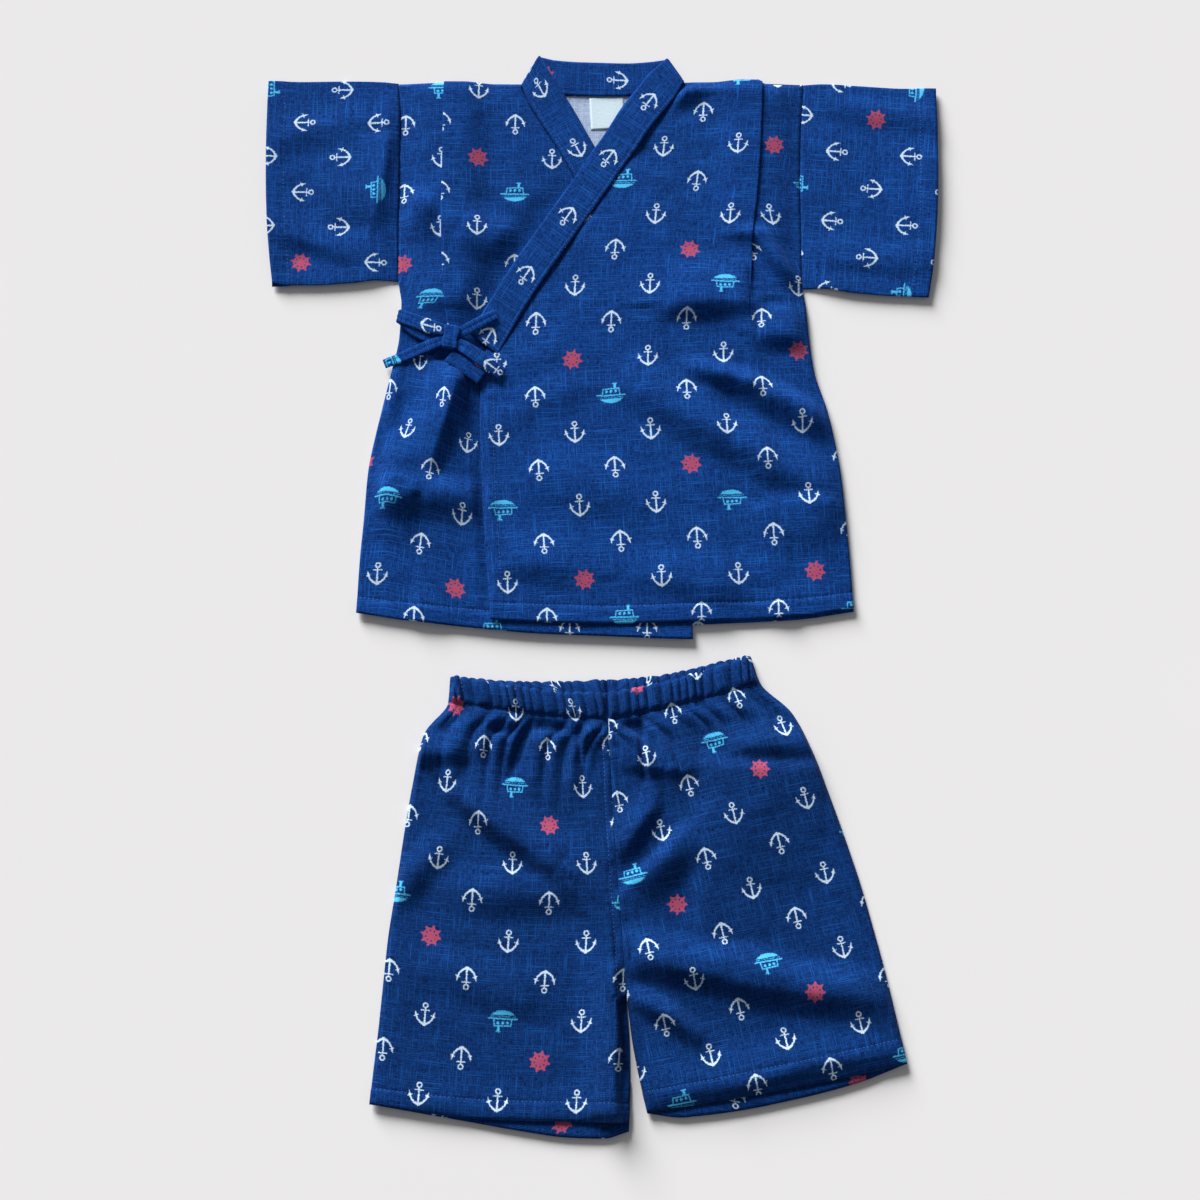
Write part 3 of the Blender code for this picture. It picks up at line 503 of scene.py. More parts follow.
def front_row(up, over):
    """One section of a front, from its side edge or sleeve seam to its front edge."""
    side, table, inward = ("left", LEFT_TUCK, -1) if over else ("right", RIGHT_TUCK, 1)
    path = tuck_path(tuck_at(table, up), inward, 1)
    below = back_half(up, side)[: STRIP_STEPS + 1]
    side_x, start_x = below[0][0], path[0][0]
    start = below[-1][1] + PITCH + EASE
    edge_x = read(FRONT_EDGES, side, up)
    plain = PITCH + WALL / 2
    flat = [
        (x, level + PITCH + EASE * index / STRIP_STEPS, (start_x - x) * inward)
        for index, (x, level) in enumerate(below)
    ]
    flat += [(x, start + rise, -length) for x, rise, length in path[1:]]
    fold_x, top = flat[-1][0], flat[-1][1]
    turned = max((start_x - fold_x) * inward + TURN + WALL, 3)
    reach = (edge_x - fold_x) * inward
    stops = steps(0, turned, 6)[1:] + steps(turned, turned + TUCK_SLOPE, 10)[1:]
    last = stops[-1]
    stops += steps(last, reach, ceil(FRONT_SPAN[side] / CELL))[1:]
    for stop in stops:
        x = fold_x + inward * stop
        level = plain + (over_lift(x, up) if over else 0)
        down = smooth(1 - max(stop - turned, 0) / TUCK_SLOPE)
        flat.append((x, level + max(top - level, 0) * down, None))
    hem = in_hem(up)
    where = left_print if over else right_print
    fold_u, _, stretch = where(fold_x, up + hem_shift(fold_x, up, side))
    path_length = path[-1][2]
    row = []
    for x, level, back in flat:
        y = up + hem_shift(x, up, side) + (shoulder_shift(x, up) if over else 0)
        u, v, _ = where(x, y)
        if back is not None:
            behind = path_length + back
            u = fold_u - inward * behind * stretch
        level += front_height(x, up, over, edge_x, side_x)
        level += pucker(up, x - side_x, 1 + over) * smooth((up - 270) / 20)
        level += pucker(x, up - HEM_DEPTH, 4 + over) * smooth(1.2 - abs(up - HEM_DEPTH) / 20)
        level += groove(up - HEM_DEPTH) + edge_lift(up, x - side_x)
        edge = (1 - smooth((abs(x - edge_x) - TURNING) / 2)) * smooth((230 - up) / 10)
        row.append(Point(x, y, level, u, v, max(hem, edge if over else 0)))
    return row


def back_row(up):
    """One section of the back, from the right side to the left, with its tucks pressed under."""
    halves = []
    for side in ("right", "left"):
        half = back_half(up, side)
        last_x = half[-1][0]
        half += [(last_x * (1 - share), BACK_LEVEL) for share in shares(26)[1:]]
        halves.append(half)
    section = halves[0] + halves[1][-2::-1]
    hem = max(in_hem(up), smooth((up - SHOULDER_TURNING) / 2))
    row = []
    for x, level in section:
        dip = NECK_DIP * smooth((NECK_HALF - abs(x)) / 25) * shoulder_share(up)
        y = up + hem_shift(x, up, "back") - dip
        side_x = read(BODY_SIDES, "left" if x > 0 else "right", up)
        level += edge_lift(up, x - side_x)
        row.append(Point(x, y, level, x + BACK_PRINT[0], y + BACK_PRINT[1], hem))
    return row


# ---------------------------------------------------------------- sleeves
SLEEVE = "out low under high"
# Lower edges of the upper and under layers, and the shoulder fold.
RIGHT_SLEEVE = rows_of(
    SLEEVE,
    (0, 282.5, 283.5, 452), (0.14, 283, 284, 453.5), (0.36, 280.5, 281.5, 454),
    (0.68, 278.5, 279.5, 453.6), (0.9, 278.5, 277.4, 453.2), (1, 281, 277, 453),
)
LEFT_SLEEVE = rows_of(
    SLEEVE,
    (0, 276, 277, 450.6), (0.14, 276, 277, 451.6), (0.40, 272, 273, 450),
    (0.70, 269.5, 270.5, 447.8), (1, 268.4, 269.4, 446.4),
)
RIGHT_CUFF = (-265, -273.3)     # x of the cuff at the underarm and at the shoulder fold
LEFT_CUFF = (261.4, 272.6)
SLEEVE_FOLDS = rows_of(
    Fold,
    (-172, 452, -178, 300, 1.8, 14, 16), (-262, 330, -190, 296, 2.6, 26, 16),
    (-268, 400, -200, 420, 1.6, 24, 22), (-176, 406, -182, 330, 3, 10, 60),
    (178, 446, 266, 424, 3, 14, 26), (176, 300, 262, 292, 2.4, 26, 14),
    (250, 300, 240, 400, 1.2, 22, 20),
)
SLEEVE_PUFF = 2.6               # height of a sleeve's upper layer over its middle
ARMHOLE = 163                   # the sleeve seams' distance from the middle line
UNDER_CELLS, UPPER_CELLS = 34, 68  # cells up a sleeve's two layers
RIGHT_SLEEVE_PRINT = (-242.5, 297)  # a wheel's place
LEFT_SLEEVE_PRINT = (223, 420)
LEFT_SLEEVE_LEAN = radians(5)


def sleeve_print(side, x, y):
    """The sleeves' cloth runs across: its print turns a quarter one way or the other."""
    if side == "right":
        return RIGHT_SLEEVE_PRINT[1] - y, x - RIGHT_SLEEVE_PRINT[0]
    dx, dy = x - LEFT_SLEEVE_PRINT[0], y - LEFT_SLEEVE_PRINT[1]
    c, s = cos(LEFT_SLEEVE_LEAN), sin(LEFT_SLEEVE_LEAN)
    return dx * s + dy * c, dy * s - dx * c


def cuff_at(cuff, across):
    """x of a cuff at a share of its height: it leans out towards the shoulder fold."""
    return cuff[0] + (cuff[1] - cuff[0]) * (1 - (1 - across) ** 3)


def sleeve_row(rows, side, cuff, out):
    """One ring round a flattened sleeve: under layer, shoulder fold, upper layer, lower fold."""
    outward = 1 if side == "left" else -1
    low, under, high = (read(rows, c, out) for c in ("low", "under", "high"))
    low_level, high_level = LIFT_UNDER, PITCH + WALL / 2
    radius = (high_level - low_level) / 2
    middle = (high_level + low_level) / 2
    angles = steps(-pi / 2, pi / 2, 6)[1:-1]
    ring = [(under + (high - under) * share, low_level, 0, False)
            for share in shares(UNDER_CELLS)]
    ring += [(high + radius * cos(a), middle + radius * sin(a), 0, False) for a in angles]
    ring += [(high + (low - high) * share, high_level, share, True)
             for share in shares(UPPER_CELLS)]
    ring += [(low - radius * cos(a), middle - radius * sin(a), 0, True) for a in angles]
    ring.append(ring[0])
    cuff_off = (1 - out) * abs(cuff[0] - outward * ARMHOLE)
    hem = in_hem(cuff_off)
    row = []
    for up, level, share, upper in ring:
        across = min(max((up - low) / (high - low), 0), 1)
        cuff_x = cuff_at(cuff, across)
        seam_x = read(BODY_SIDES, side, up) + outward * GAP
        x = seam_x + (cuff_x - seam_x) * out
        if upper:
            flank = smooth(sin(pi * share) * 1.6)
            height = SLEEVE_PUFF * (0.25 + 0.75 * out) * sin(pi * share)
            height += (relief(SLEEVE_FOLDS, x, up) + crumple(x, up, 14)) * flank
            level += max(height, 0)
            level += pucker(up, cuff_off - HEM_DEPTH, 6) * flank
        level += groove(cuff_off - HEM_DEPTH) * flank if upper else 0
        free = smooth(out * 4) * smooth(1 - (up - low) / 30)
        level += EDGE_LIFT * max(free, smooth(1 - cuff_off / 30))
        u, v = sleeve_print(side, x, up if upper else 2 * high - up)
        row.append(Point(x, up, level, u, v, hem))
    return row


# ---------------------------------------------------------------- bands
Band = namedtuple("Band", "seam_x seam free_x free rest")
# The under collar, from its lower end to the neck.
COLLAR_RIGHT = rows_of(
    Band,
    (60, 218, 84.4, 231.7, 2.6), (30, 274, 54, 288, 2.6), (5, 318, 29, 332, 2.6),
    (-20, 364, 3.5, 379.5, 2.6), (-33.3, 390, -9, 402, 2.6), (-48.9, 415, -24, 430, 2.7),
    (-60.8, 435, -38.5, 454.5, 3.2),
)
RIGHT_FOLD = Band(-67, 449, -51.8, 476.6, 1.3)
COLLAR_NECK = rows_of(
    Band,
    (-46, 444.1, -40, 473.4, 1.3), (-24, 442, -22, 471.8, 1.3), (0, 441.4, 0, 471.2, 1.3),
    (24, 441.8, 23, 470.6, 1.3), (46, 443.8, 42, 472.2, 1.3),
)
LEFT_FOLD = Band(67, 453, 53, 474.4, 1.3)
COLLAR_LEFT = rows_of(
    Band,
    (60, 440, 37, 459.5, 3.6), (50.5, 427.5, 27, 445.8, 4), (39.3, 412.5, 15, 429, 5),
    (25.5, 390, 1.5, 406, 6), (11.8, 370, -11.5, 386.5, 6.5), (-5, 344, -28, 360.5, 6.5),
    (-24, 316, -47, 332.5, 6.3), (-52, 274, -75, 290, 5.6), (-70, 243, -93, 259, 5),
    (-83, 218, -106, 236, 4.8),
)
Section = namedtuple("Section", "seam free normal along")
COLLAR_COLUMN = 60              # the band is cut along a column of anchors
COLLAR_PRINT_AT = 45.5          # and starts this far along it
COLLAR_GROOVES = ((0.13, 0.9, 0.3), (0.03, 0.8, 0.2))
COLLAR_THICK = 1.5
RIGHT_SKIP = (19, -36, -22.5)   # the print's skips at the right turn: into it, out of it, and past
LEFT_SKIP = (15, 21, 40)


def drawn(table, cell):
    """A table's rows with more rows between them, on a smooth curve."""
    rows = []
    for index in range(len(table) - 1):
        before, start = table[max(index - 1, 0)], table[index]
        end, after = table[index + 1], table[min(index + 2, len(table) - 1)]
        apart = hypot(end[0] - start[0], end[1] - start[1])
        for t in shares(ceil(apart / cell))[:-1]:
            values = [
                b + t * 0.5 * (c - a + t * (2 * a - 5 * b + 4 * c - d + t * (3 * (b - c) + d - a)))
                for a, b, c, d in zip(before, start, end, after)
            ]
            rows.append(type(start)(*values))
    return rows + [table[-1]]


def band_sections(bands, start_v, down=False):
    """Flat stretches of a band as Sections, with v measured along its middle line."""
    sections, along, last = [], start_v, None
    for band in bands:
        level = band.rest + BAND_WALL / 2
        seam = Vector((band.seam_x, band.seam, level))
        free = Vector((band.free_x, band.free, level))
        middle = (seam + free) / 2
        along += (middle - last).length if last else 0
        last = middle
        sections.append(Section(seam, free, -UP if down else UP, along))
    return sections


def fold_sections(band, inward, low, high, falling, start_v, end_v):
    """A band's folded end between two layers, as Sections whose normals turn over."""
    line = Vector((band.free_x - band.seam_x, band.free - band.seam, 0)).normalized()
    into = Vector((line.y, -line.x, 0)) * inward
    radius, sections = (high - low) / 2, []
    for share in shares(8):
        angle = pi * share
        change = radius * (1 - cos(angle))
        level = high - change if falling else low + change
        off = into * radius * (1 - sin(angle))
        seam = Vector((band.seam_x, band.seam, level)) + off
        free = Vector((band.free_x, band.free, level)) + off
        upward = cos(angle) if falling else -cos(angle)
        normal = UP * upward - into * sin(angle)
        sections.append(Section(seam, free, normal, start_v + (end_v - start_v) * share))
    return sections


def band(name, sections, thick, middle_u, columns, grooves=(), seed=0, wave=0.3):
    """A flattened tube of cloth through Sections, closed at both ends.

    grooves are (place across, width, depth) of sewn or pressed lines, the place from the seam edge.
    """
    rows, length = [], 0
    middles = [(s.seam + s.free) / 2 for s in sections]
    lengths = [0]
    for a, b in zip(middles, middles[1:]):
        length += (b - a).length
        lengths.append(length)
    for section, reached in zip(sections, lengths):
        across = section.free - section.seam
        width = across.length
        end = min(reached, length - reached, thick)
        full = (1 - (1 - end / thick) ** 2) ** 0.5
        row = []
        for side in (1, -1):
            places = shares(columns)
            for share in places[:-1] if side > 0 else places[::-1]:
                rounding = max(1 - abs(2 * share - 1) ** (width / thick), 0) ** 0.5
                dent = sum(
                    depth * exp(-(((share - at) * width / size) ** 2))
                    for at, size, depth in grooves
                )
                half = max(thick / 2 * rounding - dent * rounding, 0) * full
                place = section.seam + across * share + section.normal * (half * side)
                spot = Vector((section.along / 26, share * 1.4, seed))
                place.z += wave * noise.noise(spot) * full
                u = middle_u + (share - 0.5 if side > 0 else 1.5 - share) * width
                row.append(Point(place.x, place.y, place.z, u, section.along, 0))
        rows.append(row)
    return closed_tube(name, rows, JACKET_AT)


def closed_tube(name, rows, at):
    """A thin-walled tube through rings of Points, with its flat ends sewn shut."""
    piece = woven(name, rows, at, [COTTON], len(rows[0]) - 1)
    select(piece)
    bpy.ops.object.mode_set(mode="EDIT")
    bpy.ops.mesh.select_all(action="SELECT")
    bpy.ops.mesh.remove_doubles(threshold=0.001 * MM)
    bpy.ops.mesh.normals_make_consistent(inside=False)
    bpy.ops.object.mode_set(mode="OBJECT")
    wall = piece.modifiers.new("thickness", "SOLIDIFY")
    wall.thickness = BAND_CLOTH * MM
    wall.offset = -1
    return finished(piece, name)


def collar():
    """One folded band up the under front, round the back neck and down the over front.

    Where it turns over, the print skips by what the turned corner takes up.
    """
    low = RIGHT_FOLD.rest + BAND_WALL / 2
    high = low + BAND_WALL + GAP + 0.1
    right = band_sections(drawn(COLLAR_RIGHT, 2.4), COLLAR_PRINT_AT)
    into, out_of, past = (right[-1].along + skip for skip in RIGHT_SKIP)
    neck = band_sections(drawn(COLLAR_NECK, 2.6), past, down=True)
    sections = right + fold_sections(RIGHT_FOLD, 1, low, high, True, into, out_of) + neck
    into, out_of, past = (neck[-1].along + skip for skip in LEFT_SKIP)
    sections += fold_sections(LEFT_FOLD, -1, low, high, False, into, out_of)
    sections += band_sections(drawn(COLLAR_LEFT, 2.4), past)
    return band("collar", sections, COLLAR_THICK, COLLAR_COLUMN, 26, COLLAR_GROOVES, 3)


# ---------------------------------------------------------------- ties and the bow
Strap = namedtuple("Strap", "x up width rest")
TIES = {
    "tie_tail_right": rows_of(
        Strap,
        (-120, 233, 8.5, 7.8), (-130, 228.5, 9.5, 7.8), (-142, 223.5, 9.6, 7.2),
        (-158, 217, 8.8, 5.6), (-173.6, 211, 7.6, 4),
    ),
    "tie_collar": rows_of(
        Strap,
        (-121, 232.5, 8, 7.8), (-112, 236.5, 8.8, 8.4), (-102, 242, 9.4, 8.6), (-92, 247.5, 9, 8.5),
        (-84.5, 251.5, 8.2, 8.3),
    ),
    "tie_end_over": rows_of(
        Strap,
        (-116, 226.5, 9, 10.4), (-106, 220.3, 11, 11.2), (-94, 211.6, 11.8, 10.8),
        (-79, 200.8, 11, 8.6),
    ),
    "tie_end_under": rows_of(
        Strap,
        (-122, 217, 11, 9), (-109, 207.4, 12.6, 9.2), (-95.5, 197.6, 12, 8.4),
    ),
}
TIE_PRINTS = {                  # where each tie's visible stretch lies in the print
    "tie_tail_right": (26, 98), "tie_collar": (16, 40),
    "tie_end_over": (60, 24), "tie_end_under": (74, 44), "tie_loop": (60, 105),
}
LOOP_LOWER = rows_of(
    Band,
    (-122, 231, -122, 238, 6.6), (-134, 228.5, -133.5, 238, 6.2), (-146, 230.5, -145, 241.5, 6),
    (-156, 237.5, -154.5, 249, 5.6),
)
LOOP_TIP = Band(-164, 244.8, -162, 255.8, 5.2)
LOOP_UPPER = rows_of(
    Band,
    (-155, 241.6, -153.5, 253.4, 7.8), (-142, 236, -140.5, 248.4, 8.6),
    (-130, 233.4, -129.6, 244.2, 9), (-122, 233.4, -122, 241.4, 8.8),
)
TIE_THICK, TIE_WAVE = 1.8, 0.6
TIE_GROOVES = ((0.5, 1, 0.3), (0.12, 0.6, 0.2))
LOOP_GROOVES = ((0.35, 1.2, 0.35), (0.7, 1, 0.3))
LOOP_RISE = 2.2                 # between the middles of the loop's two layers at its tip
KNOT_AT = Vector((-120.4, 231.4, 10.4))  # the knot's middle
KNOT_SIZE = (12, 20, 7.4)       # its width, length and height
KNOT_LEAN = radians(-8)
KNOT_CORNERS = 6                # the knot is rounder the lower this is
KNOT_PRINT = (14, 12)           # the place of its middle in the print


def strap_bands(stretch):
    """A tie's stations as Bands, square across its middle line."""
    stations = drawn(stretch, 1.6)
    middles = [Vector((station.x, station.up)) for station in stations]
    bands = []
    for index, station in enumerate(stations):
        run = middles[min(index + 1, len(middles) - 1)] - middles[max(index - 1, 0)]
        across = Vector((-run.y, run.x)).normalized() * station.width / 2
        low, high = middles[index] - across, middles[index] + across
        bands.append(Band(low.x, low.y, high.x, high.y, station.rest))
    return bands


def ties():
    """The flat ends of the ties, and the bow's loop, which is one band folded at its tip."""
    pieces = []
    for index, (name, stretch) in enumerate(TIES.items()):
        u, v = TIE_PRINTS[name]
        strap = band_sections(strap_bands(stretch), v)
        pieces.append(band(name, strap, TIE_THICK, u, 12, TIE_GROOVES, 20 + index, TIE_WAVE))
    low = LOOP_TIP.rest + BAND_WALL / 2
    u, v = TIE_PRINTS["tie_loop"]
    lower = band_sections(drawn(LOOP_LOWER, 1.6), v)
    end = lower[-1].along
    loop = [section._replace(normal=-section.normal) for section in lower]
    loop += fold_sections(LOOP_TIP, 1, low, low + LOOP_RISE, False, end + 8, end + 12)
    loop += band_sections(drawn(LOOP_UPPER, 1.6), end + 20)
    return pieces + [band("tie_loop", loop, TIE_THICK, u, 14, LOOP_GROOVES, 31, TIE_WAVE)]


def knot():
    """The bow's knot: cloth wrapped once round the ties, drawn in at its ends and creased."""
    bpy.ops.object.select_all(action="DESELECT")
    bpy.ops.mesh.primitive_cube_add(size=2)
    piece = bpy.context.active_object
    piece.name = piece.data.name = "tie_knot_cloth"
    bpy.ops.object.mode_set(mode="EDIT")
    bpy.ops.mesh.subdivide(number_cuts=11)
    bpy.ops.object.mode_set(mode="OBJECT")
    turn = Vector((cos(KNOT_LEAN), sin(KNOT_LEAN), 0))
    side = Vector((-sin(KNOT_LEAN), cos(KNOT_LEAN), 0))
    flat = {}
    for vertex in piece.data.vertices:
        p = vertex.co.copy()
        round_by = sum(abs(a) ** KNOT_CORNERS for a in p) ** (1 / KNOT_CORNERS)
        rounded = p * max(map(abs, p)) / round_by
        x, y, z = (a * size / 2 for a, size in zip(rounded, KNOT_SIZE))
        flat[vertex.index] = (x + 0.6 * z, y)
        top = max(rounded.z, 0)
        x += 0.5 * sin(y * 0.5) + 0.25 * x * abs(y) / KNOT_SIZE[1]
        crease = 0.6 * exp(-(((x + 0.14 * y - 1.6) / 1.1) ** 2))
        crease += 0.5 * exp(-(((x - 0.1 * y + 2.6) / 0.9) ** 2)) * smooth((y + 4) / 8)
        z += top * (-crease + 0.5 * noise.noise(Vector((x / 5, y / 7, 2))))
        vertex.co = (KNOT_AT + JACKET_AT + turn * x + side * y + UP * z) * MM
    piece.data.materials.append(COTTON)
    while piece.data.uv_layers:
        piece.data.uv_layers.remove(piece.data.uv_layers[0])
    cut = piece.data.uv_layers.new(name="cut")
    for loop in piece.data.loops:
        x, y = flat[loop.vertex_index]
        cut.uv[loop.index].vector = ((x + KNOT_PRINT[0]) * MM, (y + KNOT_PRINT[1]) * MM)
    return finished(piece, "tie_knot")


# ---------------------------------------------------------------- label
LABEL_SIZE = 28                 # the label is square
LABEL_AT = Vector((4, 427))
LABEL_TILT = radians(3)
LABEL_LEVEL = 0.95              # height of its middle above the table


def label():
    """The bare label sewn inside the back neck: its free lower edge curls up a little."""
    rows = []
    for v in steps(-0.5, 0.5, 16):
        row = []
        for u in steps(-0.5, 0.5, 16):
            x, y = u * LABEL_SIZE, v * LABEL_SIZE
            place = Vector((x * cos(LABEL_TILT) - y * sin(LABEL_TILT),
                            x * sin(LABEL_TILT) + y * cos(LABEL_TILT))) + LABEL_AT
            free = smooth(0.5 - v)
            level = LABEL_LEVEL + free * (0.25 + 0.2 * sin(5 * u + 0.6))
            row.append(Point(place.x, place.y, level, x, y, 0))
        rows.append(row)
    return lay("label", rows, JACKET_AT, [TAPE], slot="label_tape", thick=0.5)


# ---------------------------------------------------------------- shorts
Leg = namedtuple("Leg", "row inner_x inner side_x side")
# Middle seam or inseam, and side fold, from leg hem to waist.
RIGHT_LEG = rows_of(
    Leg,
    (0, 8.5, -3, -183, 10), (1, 9.6, 25, -181, 34), (2, 9.2, 55, -178, 63), (3, 6.6, 88, -175, 98),
    (4, 4.6, 120, -172, 132), (5, 1.6, 160, -167, 168), (6, -1.4, 200, -162, 206),
    (7, -3.9, 240, -156, 246), (8, -5.9, 275, -147, 287), (9, -6.9, 299, -127.9, 312),
    (10, -7.7, 319, -126.5, 332),
)
LEFT_LEG = rows_of(
    Leg,
    (0, 22, 4.5, 214.6, 39.3), (1, 15.5, 33, 207.4, 76), (2, 10.6, 60, 199.8, 110),
    (3, 7.4, 88, 192, 141), (4, 5, 120, 183.8, 172), (5, 2, 160, 173.2, 206),
    (6, -1, 200, 161.8, 240), (7, -3.5, 240, 149.5, 274), (8, -5.5, 275, 133.5, 304),
    (9, -6.5, 299, 108.9, 327), (10, -7.3, 319, 101.7, 348),
)
DROPS = "across hem_front hem_back waist_front waist_back"
# Across runs from the side fold (0) to the middle (1).
RIGHT_DROPS = rows_of(
    DROPS,
    (0, 0, 0, 0, 0), (0.2, -3, -4, -1, 0.2), (0.4, -5, -8, -2, 1.5), (0.6, -4, -12, -3, 3.5),
    (0.75, -2.5, -14, -2.5, 6), (0.9, -1, -13, -1, 8.5), (1, 0, -6.5, 0, 10),
)
LEFT_DROPS = rows_of(
    DROPS,
    (0, 0, 0, 0, 0), (0.2, -1.5, -7.5, -1.5, 1), (0.4, -2, -10.5, -3, 1.5),
    (0.6, -2, -11.5, -3, 2.5), (0.85, -1, -9, -1.5, 7), (1, 0, -1, 0, 10),
)
# How far the elastic draws the print together.
PRINT_DRAW = rows_of(
    "row right left",
    (4, 1, 1), (5, 0.99, 1), (6, 0.94, 0.98), (7, 0.89, 0.96), (8, 0.83, 0.92), (9, 0.78, 0.86),
    (10, 0.7, 0.8),
)
Shorts = namedtuple("Shorts", "side table drops toward centre origin lean scale reach bow")
RIGHT_SHORTS = Shorts(
    "right", RIGHT_LEG, RIGHT_DROPS, 1, -99.3, 218.8, -0.06, 1.025, -126.8, 5.7
)
LEFT_SHORTS = Shorts("left", LEFT_LEG, LEFT_DROPS, -1, 40.9, 244.4, 0.211, 1.05, -104.4, -0.1)
LEG_TOP = 10
CASING_FROM = 9                 # the row of the casing's stitching
CASING_LIFT = 2.6               # the casing's outer layers stand this much further apart
FRONT_COLUMNS = 150
BACK_COLUMNS = 110
GATHER_PITCH = 7.5              # from one gather to the next along the waist
LEG_LOFT = 2                    # height of a leg's front over the flat layer
ROW_STEP = 28                   # about the distance between two rows of the legs' tables
CASING_EDGE = 0.16              # the casing rises over this much of a row
GATHER_HEIGHT = 4               # of the gathers on the casing
BULGE = 1.8                     # height of the elastic inside the casing
PLEAT_HEIGHT = 5                # of the soft pleats below it
PLEATS_TO = 6.2                 # the row that the pleats run out at
SEAM_STITCH = 5.5               # from the middle seam to the stitching beside it
CROTCH = 3.04                   # the row where the two legs part
HEM_ROWS = 1.2                  # the hem's lift ends at this row
# From here on the back layer takes the navy right side on both faces, not its pale wrong side:
# painted shade in the gap between the legs.
NAVY_SHADE_FROM = 0.93                # the back layer shows between the legs from here on
SEAM_MEETS = 0.25               # the legs' edges close the frame's gap at the middle seam
CROTCH_NOTCH = 5.5              # the right leg's front stands back from the left's below the crotch


def leg_print(leg, x, up, t):
    """Place of a point of the shorts in the print, which runs upside down on them."""
    across = (x - leg.centre) / read(PRINT_DRAW, leg.side, t)
    rise, c, s = up - leg.origin, cos(leg.lean), sin(leg.lean)
    u = leg.reach - leg.scale * (c * across + s * rise)
    return u, leg.scale * (s * across - c * rise) + leg.bow * (across / 100) ** 2


def gather(along, seed):
    """Height of the waist's gathers at a place along it: broad tops and narrow valleys."""
    phase = along / GATHER_PITCH + 1.1 * noise.noise(Vector((along / 26, seed, 0)))
    uneven = 0.8 + 0.7 * noise.noise(Vector((along / 11, seed, 4)))
    return abs(sin(pi * phase)) ** 0.7 * uneven, phase


def gathers(along, t, seed):
    """Height of the casing's gathers and bulge, and of the pleats that hang from them."""
    tight, phase = gather(along + 5 * (t - CASING_FROM), seed)
    loose = abs(sin(pi * phase / 2 + 0.4)) ** 1.2
    loose *= 0.7 + 1.3 * noise.noise(Vector((along / 21, seed, 7)))
    casing = smooth((t - CASING_FROM) / CASING_EDGE)
    stitched = exp(-(((t - CASING_FROM) / 0.07) ** 2))
    bulge = BULGE * sin(pi * min(max(t - CASING_FROM, 0), 1)) ** 0.4
    hang = smooth((t - PLEATS_TO) / 1.8) ** 1.4 * (0.25 + 0.75 * smooth((CASING_FROM - t) / 0.7))
    pleats = (PLEAT_HEIGHT * max(loose, 0) + 1.6 * tight * smooth((t - 8.2) / 0.8)) * hang
    return GATHER_HEIGHT * tight * casing + bulge + pleats * (1 - casing) - stitched


def leg_point(leg, section, across, layer, t):
    """A leg's (x, up) on its front or back layer; across runs from the side fold to the middle."""
    inner = section.inner_x + leg.toward * SEAM_MEETS * smooth((t - 2.4) / 0.8)
    x = section.side_x + (inner - section.side_x) * across
    up = section.side + (section.inner - section.side) * across
    low = max(0, 1 - t / 3.5) ** 2
    high = max(0, (t / LEG_TOP - 0.6) / 0.4) ** 1.5
    up += read(leg.drops, "hem_" + layer, across) * low
    up += read(leg.drops, "waist_" + layer, across) * high
    return x, up


def leg_at(leg, t):
    return Leg(t, *(read(leg.table, name, t) for name in Leg._fields[1:]))


def waist_bump(along, t, seed):
    """How far the waist's edge waves up and down over its gathers."""
    return (gather(along + 5 * (t - CASING_FROM), seed)[0] - 0.5) * smooth((t - 9.4) / 0.6)


